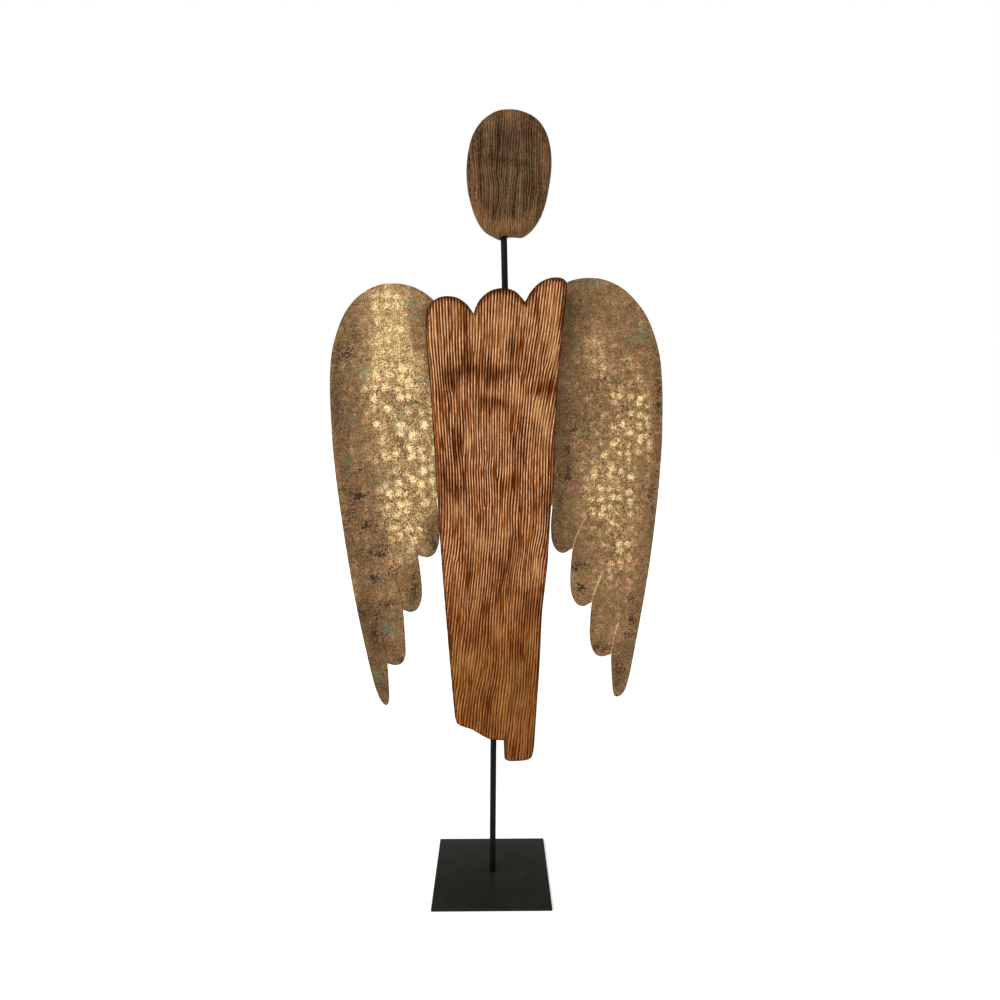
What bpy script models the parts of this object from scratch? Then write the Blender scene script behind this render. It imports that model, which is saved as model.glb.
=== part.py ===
"""Angel statue: a faceless oval head and a brushed board for a body, two sheet metal wings and a steel stand.

Lengths are in metres and +Z is up. The origin is the middle of the base plate's underside, and the viewer
stands on the -Y side, so left and right are the viewer's. Outlines are pairs of X and Z in millimetres.
"""

import math

import bmesh
import bpy
from mathutils import Vector

MM = 0.001

# Stand
PLATE_SIDE = 150 * MM
PLATE_THICKNESS = 4 * MM
PLATE_EDGE_BREAK = 0.5 * MM
ROD_DIAMETER = 8 * MM
ROD_SIDES = 24
STAND_ROD_FOOT_X = 0.9 * MM
STAND_ROD_LEAN = math.radians(0.45)
STAND_ROD_LENGTH = 246 * MM
NECK_ROD_MIDDLE = Vector((16.6, 0, 801)) * MM
NECK_ROD_LEAN = math.radians(-1.3)
NECK_ROD_LENGTH = 142 * MM

# Room left between pieces that meet, and beyond the end of a rod in its hole
GAP = 0.3 * MM
HOLE_SPARE = 0.5 * MM

# Body board
BODY_THICKNESS = 28 * MM
BODY_ROUNDING = 3 * MM
BODY_GROOVE_DEPTH = 0.9 * MM
BODY_MIDDLE_LOBE = (
    (-21.8, 738.6), (-19.2, 747.2), (-12.5, 757.8), (0.5, 767.2), (16.5, 769.9), (30.5, 765.5), (42.2, 753.3),
)
BODY_RIGHT_SIDE = (
    (42.2, 753.3), (48, 763.8), (57.2, 774.2), (67.5, 780.5), (79, 783.1), (89, 781.6), (94, 777.2),
    (94.6, 770), (91.2, 734.5), (86.6, 686), (81.4, 602.8), (79.4, 523), (76, 493), (72.2, 424.6),
    (65.6, 362), (62.8, 299), (57.7, 213.4), (54.6, 174), (52.6, 167), (47, 163.2), (33, 161.6),
    (21.5, 162), (17.2, 164.8), (16.4, 171), (16.2, 189.4),
)
BODY_LEFT_SIDE = (
    (16.2, 189.4), (7, 189.8), (-2.5, 191.2), (-15.9, 198.1), (-25, 203.9), (-38, 208.6), (-44.4, 211.9),
    (-47.2, 218), (-49.3, 235.3), (-57.9, 341.4), (-62.6, 404), (-66.8, 470), (-75, 615), (-80.8, 700),
    (-82.4, 728), (-80.6, 742), (-74.5, 752.2), (-65, 758.3), (-54.5, 760), (-43, 758.2), (-31.5, 751),
    (-21.8, 738.6),
)
# The grain as it runs down the board: height, X of its first ring, and width of a ring, in millimetres
BODY_GRAIN = (
    (800, -88.0, 4.10), (756, -84.1, 3.93), (694, -78.9, 3.70), (632, -73.1, 3.47), (569, -68.4, 3.35),
    (505, -63.6, 3.30), (441, -61.6, 3.30), (376, -62.5, 3.40), (310, -67.5, 3.55), (243, -78.9, 3.75),
    (150, -98.5, 3.90),
)
BODY_RINGS = (-3, 47)

# Head
HEAD_THICKNESS = 28 * MM
HEAD_ROUNDING = 8 * MM
HEAD_GROOVE_DEPTH = 0.5 * MM
HEAD_UNDERSIDE = ((10.5, 832.8), (21, 836), (39, 836.2))
HEAD_SIDES = (
    (39, 836.2), (49.7, 843), (60.8, 857.8), (68.2, 876.5), (73.2, 902.3), (74.8, 922), (72.5, 945), (66.5, 961.5),
    (56.5, 974.2), (38, 983.4), (20.3, 985.4), (5, 982.6), (-11, 972), (-23, 954.5), (-29.2, 930), (-30.6, 908),
    (-28.3, 887.2), (-18.7, 857.8), (-7.9, 842.8), (10.5, 832.8),
)
# Height, X of the first ring and width of a ring
HEAD_GRAIN = ((1000, -35.0, 3.2), (820, -37.0, 3.2))
HEAD_RINGS = (0, 36)

# Wings: the blade starts behind the board and runs over the shoulder to the lowest tip, and each feather
# that steps up from there ends at a corner, where a slit may run on into the sheet
WING_THICKNESS = 1.5 * MM
SLIT_WIDTH = 1.2
LEFT_WING_BLADE = (
    (-72.2, 506), (-65, 502), (-58, 507), (-54, 522), (-51, 580), (-51, 650), (-54, 710), (-62, 744),
    (-75.6, 761.8), (-92.1, 773.6), (-109, 779.6), (-127, 781.5), (-144, 779.4), (-160, 772.4), (-176.1, 759.9),
    (-189.1, 742.2), (-199, 719), (-206.1, 691.5), (-208.8, 660), (-208.4, 615), (-204.6, 547.2),
    (-194.8, 463.1), (-180.1, 367), (-162.5, 280.2), (-155, 250), (-147.5, 232.4), (-141.4, 227.2),
    (-138, 231.4), (-137.7, 250), (-138.7, 284.2),
)
LEFT_WING_FEATHERS = (
    ((-138.7, 284.2), (-129.5, 282.2), (-120.5, 284.4), (-115.6, 292.5), (-114.8, 305), (-117.2, 357)),
    ((-117.2, 357), (-107.8, 354.1), (-99.8, 357.1), (-94.1, 366.8), (-92.2, 383), (-96.7, 429.6)),
    ((-96.7, 429.6), (-84.8, 427.4), (-76.5, 431), (-70.6, 441.7), (-68.6, 455), (-69.4, 476), (-72.2, 506)),
)
LEFT_WING_SLIT_ENDS = ((-147.5, 327), (-127.8, 402.9), (-110.5, 472), None)
RIGHT_WING_BLADE = (
    (79.6, 497), (73, 490), (66, 496), (62.5, 520), (61, 580), (61.5, 650), (65, 715), (75, 757), (86, 774),
    (98.5, 783.8), (110, 787.4), (125, 789), (141, 787.7), (156, 782.8), (170, 775.2), (185.7, 760.6),
    (199, 743), (209.6, 720.2), (217.8, 692.1), (221.6, 662), (223.3, 610), (221.7, 547.1), (214.6, 462.6),
    (206.8, 398.4), (200.8, 363), (193.4, 317), (183.5, 262), (178.4, 246.1), (173, 239.6), (168, 238),
    (164.6, 240.5), (162.7, 250), (159.6, 296.2),
)
RIGHT_WING_FEATHERS = (
    ((159.6, 296.2), (148.5, 293), (140.4, 295.2), (134.6, 303.5), (131.2, 320), (133, 366.4)),
    ((133, 366.4), (121.5, 361.5), (113.5, 364.6), (106.7, 376.5), (104.4, 398), (107, 438.8)),
    ((107, 438.8), (95.2, 433), (87.2, 435.6), (80.4, 447), (78.4, 466), (79.6, 497)),
)
RIGHT_WING_SLIT_ENDS = ((169.2, 341), (147.8, 407.8), (123, 479.5), (84.8, 552))
SLIT_BOW = 1.5
SLIT_TAPER = 0.8
LEFT, RIGHT = -1, 1

# Outline points are this close, in millimetres, to the smooth curve
OUTLINE_TOLERANCE = 0.2
WING_TOLERANCE = 0.3


def clear_scene():
    """Remove every object that the scene starts with."""
    for thing in list(bpy.data.objects):
        bpy.data.objects.remove(thing)


def principled(name, colour, roughness, metallic=0.0):
    """Make a plain material."""
    material = bpy.data.materials.new(name)
    material.use_nodes = True
    shader = material.node_tree.nodes["Principled BSDF"]
    shader.inputs["Base Color"].default_value = (*colour, 1)
    shader.inputs["Roughness"].default_value = roughness
    shader.inputs["Metallic"].default_value = metallic
    return material


def add_object(name, bm, material=None):
    """Turn a bmesh into an object, shaded smooth between its sharp edges."""
    bmesh.ops.recalc_face_normals(bm, faces=bm.faces)
    mesh = bpy.data.meshes.new(name)
    bm.to_mesh(mesh)
    bm.free()
    mesh.shade_smooth()
    mesh.set_sharp_from_angle(angle=math.radians(30))
    if material:
        mesh.materials.append(material)
    thing = bpy.data.objects.new(name, mesh)
    bpy.context.scene.collection.objects.link(thing)
    return thing


def curve_through(points, steps=8):
    """Follow a smooth curve, a centripetal Catmull-Rom, through the points from the first to the last."""
    knots = [Vector(point) for point in points]
    knots = [2 * knots[0] - knots[1], *knots, 2 * knots[-1] - knots[-2]]
    path = [knots[1]]
    for before, start, end, after in zip(knots, knots[1:], knots[2:], knots[3:]):
        first = math.sqrt((start - before).length)
        span = math.sqrt((end - start).length)
        last = math.sqrt((after - end).length)
        chord = (end - start) / span
        leaving = span * ((start - before) / first - (end - before) / (first + span) + chord)
        arriving = span * (chord - (after - start) / (span + last) + (after - end) / last)
        for step in range(1, steps + 1):
            t = step / steps
            path.append(
                (2 * t**3 - 3 * t**2 + 1) * start
                + (t**3 - 2 * t**2 + t) * leaving
                + (3 * t**2 - 2 * t**3) * end
                + (t**3 - t**2) * arriving
            )
    return path


def thinned(path, tolerance):
    """Keep only the points that a path needs to stay within the tolerance of itself."""
    chord = (path[-1] - path[0]).normalized()
    strays = [abs(chord.cross(point - path[0])) for point in path]
    widest = max(range(len(path)), key=strays.__getitem__)
    if strays[widest] <= tolerance:
        return [path[0], path[-1]]
    return thinned(path[: widest + 1], tolerance)[:-1] + thinned(path[widest:], tolerance)


def outline_from(runs, tolerance):
    """Join smooth runs, which meet at corners, into one closed outline in millimetres."""
    outline = []
    for run in runs:
        outline += thinned(curve_through(run), tolerance)[:-1]
    return outline


def slit(mouth, end, near_side):
    """Go up the near side of a slit and down its far side. It narrows to a point and bows towards the board."""
    mouth, end = Vector(mouth), Vector(end)
    along = (end - mouth).normalized()
    nearer = Vector((along.y, -along.x)) * near_side
    middle = (mouth + end) / 2 - nearer * SLIT_BOW
    half = nearer * SLIT_WIDTH / 2
    return [mouth + half, middle + SLIT_TAPER * half, end, middle - SLIT_TAPER * half, mouth - half]


def wing_outline(blade, feathers, slit_ends, near_side):
    """Join the blade and the feathers, with a slit let in at each corner that has one."""
    outline = []
    for run, slit_end in zip((blade, *feathers), slit_ends):
        outline += thinned(curve_through(run), WING_TOLERANCE)[1:-1]
        outline += slit(run[-1], slit_end, near_side) if slit_end else [Vector(run[-1])]
    return outline


def inset(outline, distance):
    """Move each point of a closed outline inwards, square to the outline."""
    turns = zip(outline, outline[1:] + outline[:1])
    inward = math.copysign(distance, sum(a.cross(b) for a, b in turns))
    moved = []
    for index, point in enumerate(outline):
        before = (point - outline[index - 1]).normalized()
        after = (outline[(index + 1) % len(outline)] - point).normalized()
        along = (before + after).normalized()
        stretch = min(1.4, 1 / along.dot(before))
        moved.append(point + Vector((-along.y, along.x)) * inward * stretch)
    return moved


def stack_loops(bm, loops):
    """Join loops of points, one behind the other, into a closed skin with a flat cap at each end."""
    rows = [[bm.verts.new(point) for point in loop] for loop in loops]
    for near, far in zip(rows, rows[1:]):
        for index in range(len(near)):
            bm.faces.new((near[index - 1], near[index], far[index], far[index - 1]))
    bm.faces.new(rows[0])
    bm.faces.new(rows[-1])


def at_depth(outline, y):
    """Place an outline in millimetres at a depth in metres."""
    return [Vector((point.x * MM, y, point.y * MM)) for point in outline]


def rounded_slab(outline, thickness, rounding, segments):
    """Make a slab, centred on Y = 0, whose front and back edges are rounded over."""
    front = []
    for step in range(segments + 1):
        angle = math.pi / 2 * step / segments
        depth = -thickness / 2 + rounding * (1 - math.cos(angle))
        front.append((inset(outline, rounding / MM * (1 - math.sin(angle))), depth))
    back = [(loop, -depth) for loop, depth in reversed(front)]
    bm = bmesh.new()
    stack_loops(bm, [at_depth(loop, depth) for loop, depth in front + back])
    return bm


def grooved_block(grain, rings, thickness, groove_depth):
    """Make a block with a V groove on each side of every ring, front and back, running as the grain does."""
    halves = range(2 * rings[0], 2 * rings[1] + 1)
    bm = bmesh.new()
    rows = []
    for height, first_ring, ring_width in grain:
        front, back = [], []
        for half in halves:
            x = (first_ring + ring_width * half / 2) * MM
            y = thickness / 2 - (groove_depth if half % 2 == 0 else 0)
            front.append(bm.verts.new((x, -y, height * MM)))
            back.append(bm.verts.new((x, y, height * MM)))
        rows.append(front + back[::-1])
    for upper, lower in zip(rows, rows[1:]):
        for index in range(len(upper)):
            bm.faces.new((upper[index - 1], upper[index], lower[index], lower[index - 1]))
    bm.faces.new(rows[0])
    bm.faces.new(rows[-1])
    return bm


def cylinder(radius, length):
    """Make a cylinder along Z, centred on its own origin."""
    bm = bmesh.new()
    bmesh.ops.create_cone(bm, cap_ends=True, segments=ROD_SIDES, radius1=radius, radius2=radius, depth=length)
    return bm


def cut(thing, cutter, operation="DIFFERENCE"):
    """Cut a piece with a helper that stays out of the render."""
    cutter.hide_render = True
    cutter.display_type = "WIRE"
    modifier = thing.modifiers.new(cutter.name, "BOOLEAN")
    modifier.operation = operation
    modifier.object = cutter


def add_rod(name, middle, lean, length, material):
    """Add a round rod, leaning sideways about its middle."""
    rod = add_object(name, cylinder(ROD_DIAMETER / 2, length), material)
    rod.location = middle
    rod.rotation_euler.y = lean
    return rod


def drill(thing, rod, length):
    """Drill a blind hole for a rod, a little wider and deeper than the rod."""
    hole = add_object(
        f"{thing.name}_hole_for_{rod.name}", cylinder(ROD_DIAMETER / 2 + GAP, length + 2 * HOLE_SPARE)
    )
    hole.location = rod.location
    hole.rotation_euler = rod.rotation_euler
    cut(thing, hole)


def add_plank(name, runs, thickness, rounding, segments, grain, rings, groove_depth, material):
    """Add a sawn and brushed piece of wood: a rounded slab, with the soft grain worn back into grooves."""
    proud = 2 * GAP
    outline = outline_from(runs, OUTLINE_TOLERANCE)
    plank = add_object(name, rounded_slab(outline, thickness + proud, rounding, segments), material)
    grooves = add_object(f"{name}_grooves", grooved_block(grain, rings, thickness, groove_depth))
    cut(plank, grooves, "INTERSECT")
    return plank


def add_wing(name, outline, material):
    """Add a flat sheet wing against the board's back."""
    front = BODY_THICKNESS / 2 + GAP
    bm = bmesh.new()
    stack_loops(bm, [at_depth(outline, front), at_depth(outline, front + WING_THICKNESS)])
    return add_object(name, bm, material)


def add_plate(material):
    """Add the square base plate, its edges just broken."""
    bm = bmesh.new()
    bmesh.ops.create_cube(bm, size=1)
    bmesh.ops.scale(bm, vec=(PLATE_SIDE, PLATE_SIDE, PLATE_THICKNESS), verts=bm.verts)
    bmesh.ops.bevel(bm, geom=bm.edges, offset=PLATE_EDGE_BREAK, segments=1, affect="EDGES")
    plate = add_object("base_plate", bm, material)
    plate.location.z = PLATE_THICKNESS / 2


def build_statue():
    """Build every piece, from the floor up."""
    black_steel = principled("black_steel", (0.022, 0.023, 0.020), 0.5, 0.6)
    brushed_pine = principled("brushed_pine", (0.30, 0.125, 0.045), 0.6)
    old_wood = principled("old_wood", (0.085, 0.050, 0.028), 0.75)
    aged_brass = principled("aged_brass", (0.26, 0.19, 0.09), 0.5, 0.8)

    add_plate(black_steel)
    foot = Vector((STAND_ROD_FOOT_X, 0, PLATE_THICKNESS + GAP))
    up = Vector((math.sin(STAND_ROD_LEAN), 0, math.cos(STAND_ROD_LEAN)))
    stand_rod = add_rod(
        "stand_rod", foot + up * STAND_ROD_LENGTH / 2, STAND_ROD_LEAN, STAND_ROD_LENGTH, black_steel
    )
    neck_rod = add_rod("neck_rod", NECK_ROD_MIDDLE, NECK_ROD_LEAN, NECK_ROD_LENGTH, black_steel)

    body = add_plank(
        "body", (BODY_MIDDLE_LOBE, BODY_RIGHT_SIDE, BODY_LEFT_SIDE), BODY_THICKNESS, BODY_ROUNDING, 2,
        BODY_GRAIN, BODY_RINGS, BODY_GROOVE_DEPTH, brushed_pine,
    )
    drill(body, stand_rod, STAND_ROD_LENGTH)
    drill(body, neck_rod, NECK_ROD_LENGTH)
    head = add_plank(
        "head", (HEAD_UNDERSIDE, HEAD_SIDES), HEAD_THICKNESS, HEAD_ROUNDING, 3,
        HEAD_GRAIN, HEAD_RINGS, HEAD_GROOVE_DEPTH, old_wood,
    )
    drill(head, neck_rod, NECK_ROD_LENGTH)

    left = wing_outline(LEFT_WING_BLADE, LEFT_WING_FEATHERS, LEFT_WING_SLIT_ENDS, LEFT)
    right = wing_outline(RIGHT_WING_BLADE, RIGHT_WING_FEATHERS, RIGHT_WING_SLIT_ENDS, RIGHT)
    add_wing("left_wing", left, aged_brass)
    add_wing("right_wing", right, aged_brass)


clear_scene()
build_statue()
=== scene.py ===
"""Looks of the angel statue: brushed board body, sawn oval head, hammered sheet wings, black steel stand."""

import logging
import math
from dataclasses import dataclass
from enum import Enum
from typing import Any, Callable, Sequence

import bmesh
import bpy
import numpy as np
from mathutils import Euler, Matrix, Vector
from mathutils.geometry import delaunay_2d_cdt
from mathutils.kdtree import KDTree


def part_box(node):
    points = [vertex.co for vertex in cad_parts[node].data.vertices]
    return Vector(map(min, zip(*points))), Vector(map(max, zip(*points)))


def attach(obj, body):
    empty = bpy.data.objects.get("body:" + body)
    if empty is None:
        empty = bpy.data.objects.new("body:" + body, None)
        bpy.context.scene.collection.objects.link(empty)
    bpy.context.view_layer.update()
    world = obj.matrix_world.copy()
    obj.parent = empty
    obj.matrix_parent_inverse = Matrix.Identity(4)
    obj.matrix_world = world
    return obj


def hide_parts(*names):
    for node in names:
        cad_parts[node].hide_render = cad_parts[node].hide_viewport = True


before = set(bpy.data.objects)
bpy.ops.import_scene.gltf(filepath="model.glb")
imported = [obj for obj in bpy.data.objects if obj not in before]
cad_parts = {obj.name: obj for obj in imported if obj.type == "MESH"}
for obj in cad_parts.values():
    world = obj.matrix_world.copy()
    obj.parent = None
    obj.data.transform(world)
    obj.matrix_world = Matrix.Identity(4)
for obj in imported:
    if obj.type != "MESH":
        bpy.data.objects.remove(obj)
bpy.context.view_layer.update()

log = logging.getLogger("angel_statue")

Colour = tuple[int, int, int]
Reach = tuple[float, float]
Spot = tuple[float, float, float, float, float]
Warp = Callable[[np.ndarray], np.ndarray]
Material = bpy.types.Material
Node = bpy.types.Node
Socket = bpy.types.NodeSocket
Thing = bpy.types.Object
Tree = bpy.types.NodeTree

MM = 0.001
# The painted highlight line on a ring stands at this share of the way from its groove to the next
CREST_PLACE = 1 / 3
# Saw strokes: the distance between two in metres, and how far one drops for each step to the right
SAW_SPACING, SAW_SLOPE = 2.9 * MM, 0.36
# How far apart the noises of two seeds are read: in rings on wood, in metres on sheet
WOOD_SEED_STEP, SHEET_SEED_STEP = 17.3, 0.37


class Side(Enum):
    """Which wing, as the viewer sees it."""

    LEFT = "left_wing"
    RIGHT = "right_wing"


class Mark(Enum):
    """Soft spots that a piece carries, each kept on its mesh as a vertex attribute of this name; some are
    painted light.
    """

    STAIN = "stain"
    WORN = "worn"
    PALE = "pale"
    SAW = "saw"
    # Orange-brown oil by the rim, which on the head's lower edge also stands for a painted highlight
    WARM = "warm"
    POLISH = "polish"
    # Golden sheen on the sheet: mostly painted reflection of the lamp, partly rubbed gold
    DULL = "dull"
    # Darker sheet: partly dull patina, partly painted shade next to the body and away from the lamp
    VERDIGRIS = "verdigris"
    SOOT = "soot"


Marks = dict[Mark, tuple[Spot, ...]]
WOOD_MARKS = (Mark.STAIN, Mark.WORN, Mark.PALE, Mark.SAW, Mark.WARM)
FRONT_WEAR = (Mark.SAW, Mark.PALE)


# ---------------------------------------------------------------- colours and nodes


def paint(colour: Colour) -> tuple[float, float, float, float]:
    """Turn a display colour into the linear one that a shader takes.

    Args:
        colour: Red, green and blue from 0 to 255.

    Returns:
        Linear red, green and blue, and full alpha.
    """
    shares = [value / 255 for value in colour]
    linear = [s / 12.92 if s <= 0.04045 else ((s + 0.055) / 1.055) ** 2.4 for s in shares]
    return (*linear, 1.0)


class Graph:
    """A node tree with short ways to add nodes and join them."""

    def __init__(self, tree: Tree) -> None:
        """Keep the tree that nodes are added to."""
        self.tree = tree

    def feed(self, socket: Socket, source: Any) -> None:
        """Join a socket to another, or set its own value.

        Args:
            socket: The input.
            source: An output socket, or a value that the input takes.
        """
        if isinstance(source, Socket):
            self.tree.links.new(source, socket)
        elif source is not None:
            socket.default_value = source

    def add(self, kind: str, inputs: dict[Any, Any] | None = None, **settings: Any) -> Node:
        """Add a node.

        Args:
            kind: The node's type name.
            inputs: What feeds its inputs, by name or number.
            settings: Its properties.

        Returns:
            The node.
        """
        node = self.tree.nodes.new(kind)
        for name, value in settings.items():
            setattr(node, name, value)
        for name, source in (inputs or {}).items():
            self.feed(node.inputs[name], source)
        return node

    def math(self, operation: str, a: Any, b: Any = None, c: Any = None) -> Socket:
        """Add a Math node and return its result."""
        return self.add("ShaderNodeMath", {0: a, 1: b, 2: c}, operation=operation).outputs[0]

    def times(self, a: Any, b: Any) -> Socket:
        """Multiply two values."""
        return self.math("MULTIPLY", a, b)

    def plus(self, start: Any, value: Any, weight: Any = 1.0) -> Socket:
        """Add a weighted value to a start."""
        return self.math("MULTIPLY_ADD", value, weight, start)

    def total(self, start: Any, *parts: tuple[Any, Any]) -> Socket:
        """Add weighted noises to a value, each counted from its middle.

        Args:
            start: The value to begin with.
            parts: Pairs of a noise and its weight.

        Returns:
            The sum.
        """
        for value, weight in parts:
            start = self.plus(start, self.math("SUBTRACT", value, 0.5), weight)
        return start

    def smooth(self, value: Any, low: Any, high: Any, start: Any = 0.0, end: Any = 1.0) -> Socket:
        """Add a smooth step from one value to another.

        Args:
            value: What is mapped.
            low: Where the step starts.
            high: Where it ends.
            start: The result up to low.
            end: The result from high on.

        Returns:
            The mapped value.
        """
        inputs = dict(enumerate((value, low, high, start, end)))
        return self.add("ShaderNodeMapRange", inputs, interpolation_type="SMOOTHSTEP").outputs[0]

    def ragged(self, spots: Any, noise: Any, amount: float, low: float = 0.2, high: float = 0.85) -> Socket:
        """Break up the edges of soft spots with noise: they show from low and are full from high on."""
        return self.smooth(self.total(spots, (noise, amount)), low, high)

    def vector(self, x: Any = 0.0, y: Any = 0.0, z: Any = 0.0) -> Socket:
        """Join three numbers into a vector."""
        return self.add("ShaderNodeCombineXYZ", {0: x, 1: y, 2: z}).outputs[0]

    def noise(self, place: Any, scale: Any, detail: float = 2.0, rough: float = 0.5) -> Socket:
        """Add noise between about 0.2 and 0.8.

        Args:
            place: Where it is read.
            scale: Its fineness: one number, or one for each direction.
            detail: How many finer layers it has.
            rough: How strong they are.

        Returns:
            The noise.
        """
        if isinstance(scale, tuple):
            place = self.add("ShaderNodeVectorMath", {0: place, 1: scale}, operation="MULTIPLY").outputs[0]
            scale = 1.0
        inputs = {"Vector": place, "Scale": scale, "Detail": detail, "Roughness": rough}
        return self.add("ShaderNodeTexNoise", inputs).outputs[0]

    def attributes(self, *names: str) -> list[Socket]:
        """Read numbers that the mesh carries at its vertices.

        Args:
            names: The attributes' names.

        Returns:
            The value of each.
        """
        if self.tree.type == "GEOMETRY":
            kind = "GeometryNodeInputNamedAttribute"
            return [self.add(kind, {"Name": name}, data_type="FLOAT").outputs["Attribute"] for name in names]
        return [self.add("ShaderNodeAttribute", attribute_name=name).outputs["Fac"] for name in names]

    def ramp(self, value: Any, colours: Sequence[Colour]) -> Socket:
        """Turn a value from 0 to 1 into evenly spaced colours.

        Args:
            value: What is coloured.
            colours: At least two display colours, darkest first.

        Returns:
            The colour.
        """
        node = self.add("ShaderNodeValToRGB", {0: value})
        stops = node.color_ramp.elements
        stops[0].color, stops[1].color = paint(colours[0]), paint(colours[-1])
        for index, colour in enumerate(colours[1:-1], 1):
            stops.new(index / (len(colours) - 1)).color = paint(colour)
        return node.outputs[0]

    def mix(self, share: Any, a: Any, b: Any, blend: str = "MIX") -> Socket:
        """Mix two colours.

        Args:
            share: How much of the second shows.
            a: The first, a socket or a display colour.
            b: The second.
            blend: The way they are mixed.

        Returns:
            The mixed colour.
        """
        a, b = (colour if isinstance(colour, Socket) else paint(colour) for colour in (a, b))
        # The node keeps its colour sockets after those for numbers and vectors
        inputs = {0: share, 6: a, 7: b}
        return self.add("ShaderNodeMix", inputs, data_type="RGBA", blend_type=blend).outputs[2]

    def coats(self, base: Any, *coats: tuple[Any, ...]) -> Socket:
        """Lay colours over each other.

        Args:
            base: The lowest colour.
            coats: The share, the colour and, where it isn't a plain mix, the blend of each coat above it.

        Returns:
            The colour that comes out on top.
        """
        for share, colour, *blend in coats:
            base = self.mix(share, base, colour, *blend)
        return base


class Surface(Graph):
    """The node graph of one material, around its main shader."""

    def __init__(self, name: str, specular: float, tint: Colour = (255, 255, 255)) -> None:
        """Start a material.

        Args:
            name: Its name.
            specular: The strength of its gloss.
            tint: The colour of its gloss.
        """
        self.material = bpy.data.materials.new(name)
        self.material.use_nodes = True
        super().__init__(self.material.node_tree)
        self.shader = self.tree.nodes["Principled BSDF"]
        self.shader.inputs["Specular IOR Level"].default_value = specular
        self.shader.inputs["Specular Tint"].default_value = paint(tint)
        self.place = self.add("ShaderNodeTexCoord").outputs["Object"]
        self.along = self.add("ShaderNodeSeparateXYZ", {0: self.place}).outputs

    def finish(
        self, colour: Any, roughness: Any, height: Any, relief: float, metallic: Any = None
    ) -> Material:
        """Join the results to the shader.

        Args:
            colour: The base colour.
            roughness: The roughness.
            height: What the fine relief follows.
            relief: The depth of that relief, in metres.
            metallic: The share of bare metal, where it varies.

        Returns:
            The material.
        """
        bump = self.add("ShaderNodeBump", {"Strength": 1.0, "Distance": relief, "Height": height}).outputs[0]
        results = {"Base Color": colour, "Roughness": roughness, "Normal": bump, "Metallic": metallic}
        for name, source in results.items():
            self.feed(self.shader.inputs[name], source)
        return self.material


# ---------------------------------------------------------------- finishes


class WoodSurface(Surface):
    """A material graph with the marks that brushed wood has, read from the plank's attributes."""

    def __init__(self, name: str, specular: float, tint: Colour, groove_width: float) -> None:
        """Start the material and work out its marks.

        Args:
            name: Its name.
            specular: The strength of its gloss.
            tint: The colour of its gloss.
            groove_width: The share of a ring that its groove takes.
        """
        super().__init__(name, specular, tint)
        _, y, z = self.along
        ring, carve, wave, crest = self.attributes("ring", "carve", "wave", "crest")
        grain = self.vector(ring, self.times(y, 60), self.times(z, 7))
        self.by_ring = self.noise(grain, (0.9, 0.5, 0.8), 2, 0.55)
        self.fibre = self.noise(grain, (5.0, 1.0, 12.0), 3, 0.6)
        self.fleck = self.noise(grain, (2.2, 0.6, 26.0), 2, 0.6)
        self.hair = self.noise(grain, (6.0, 2.0, 9.0), 2, 0.6)
        self.patch = self.noise(grain, (0.45, 0.5, 2.2), 3, 0.6)
        self.grit = self.noise(self.place, (620, 400, 480), 2, 0.65)
        line = self.smooth(self.total(wave, (self.fleck, 0.4)), 1 - groove_width, 1 - 0.25 * groove_width)
        self.groove = self.times(line, carve)
        own = self.noise(self.vector(self.math("FLOOR", ring), 0.0, self.times(z, 14)), 1.7, 2, 0.5)
        # The painted highlight line along each ring's crest, broken by fleck and by the ring's own noise
        off = self.total(crest, (self.fleck, 0.16))
        self.crest = self.times(self.smooth(off, 0.25, 0.04), self.smooth(own, 0.32, 0.56))

    def sawn(self) -> Socket:
        """Draw the saw strokes where the plank has them.

        Returns:
            1 in the middle of a stroke.
        """
        x, _, z = self.along
        across = self.total(self.plus(z, x, SAW_SLOPE), (self.fibre, 0.3 * SAW_SPACING))
        stroke = self.math("COSINE", self.times(across, 2 * math.pi / SAW_SPACING))
        return self.times(self.attributes("saw")[0], self.smooth(stroke, -0.3, 0.7))


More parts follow.
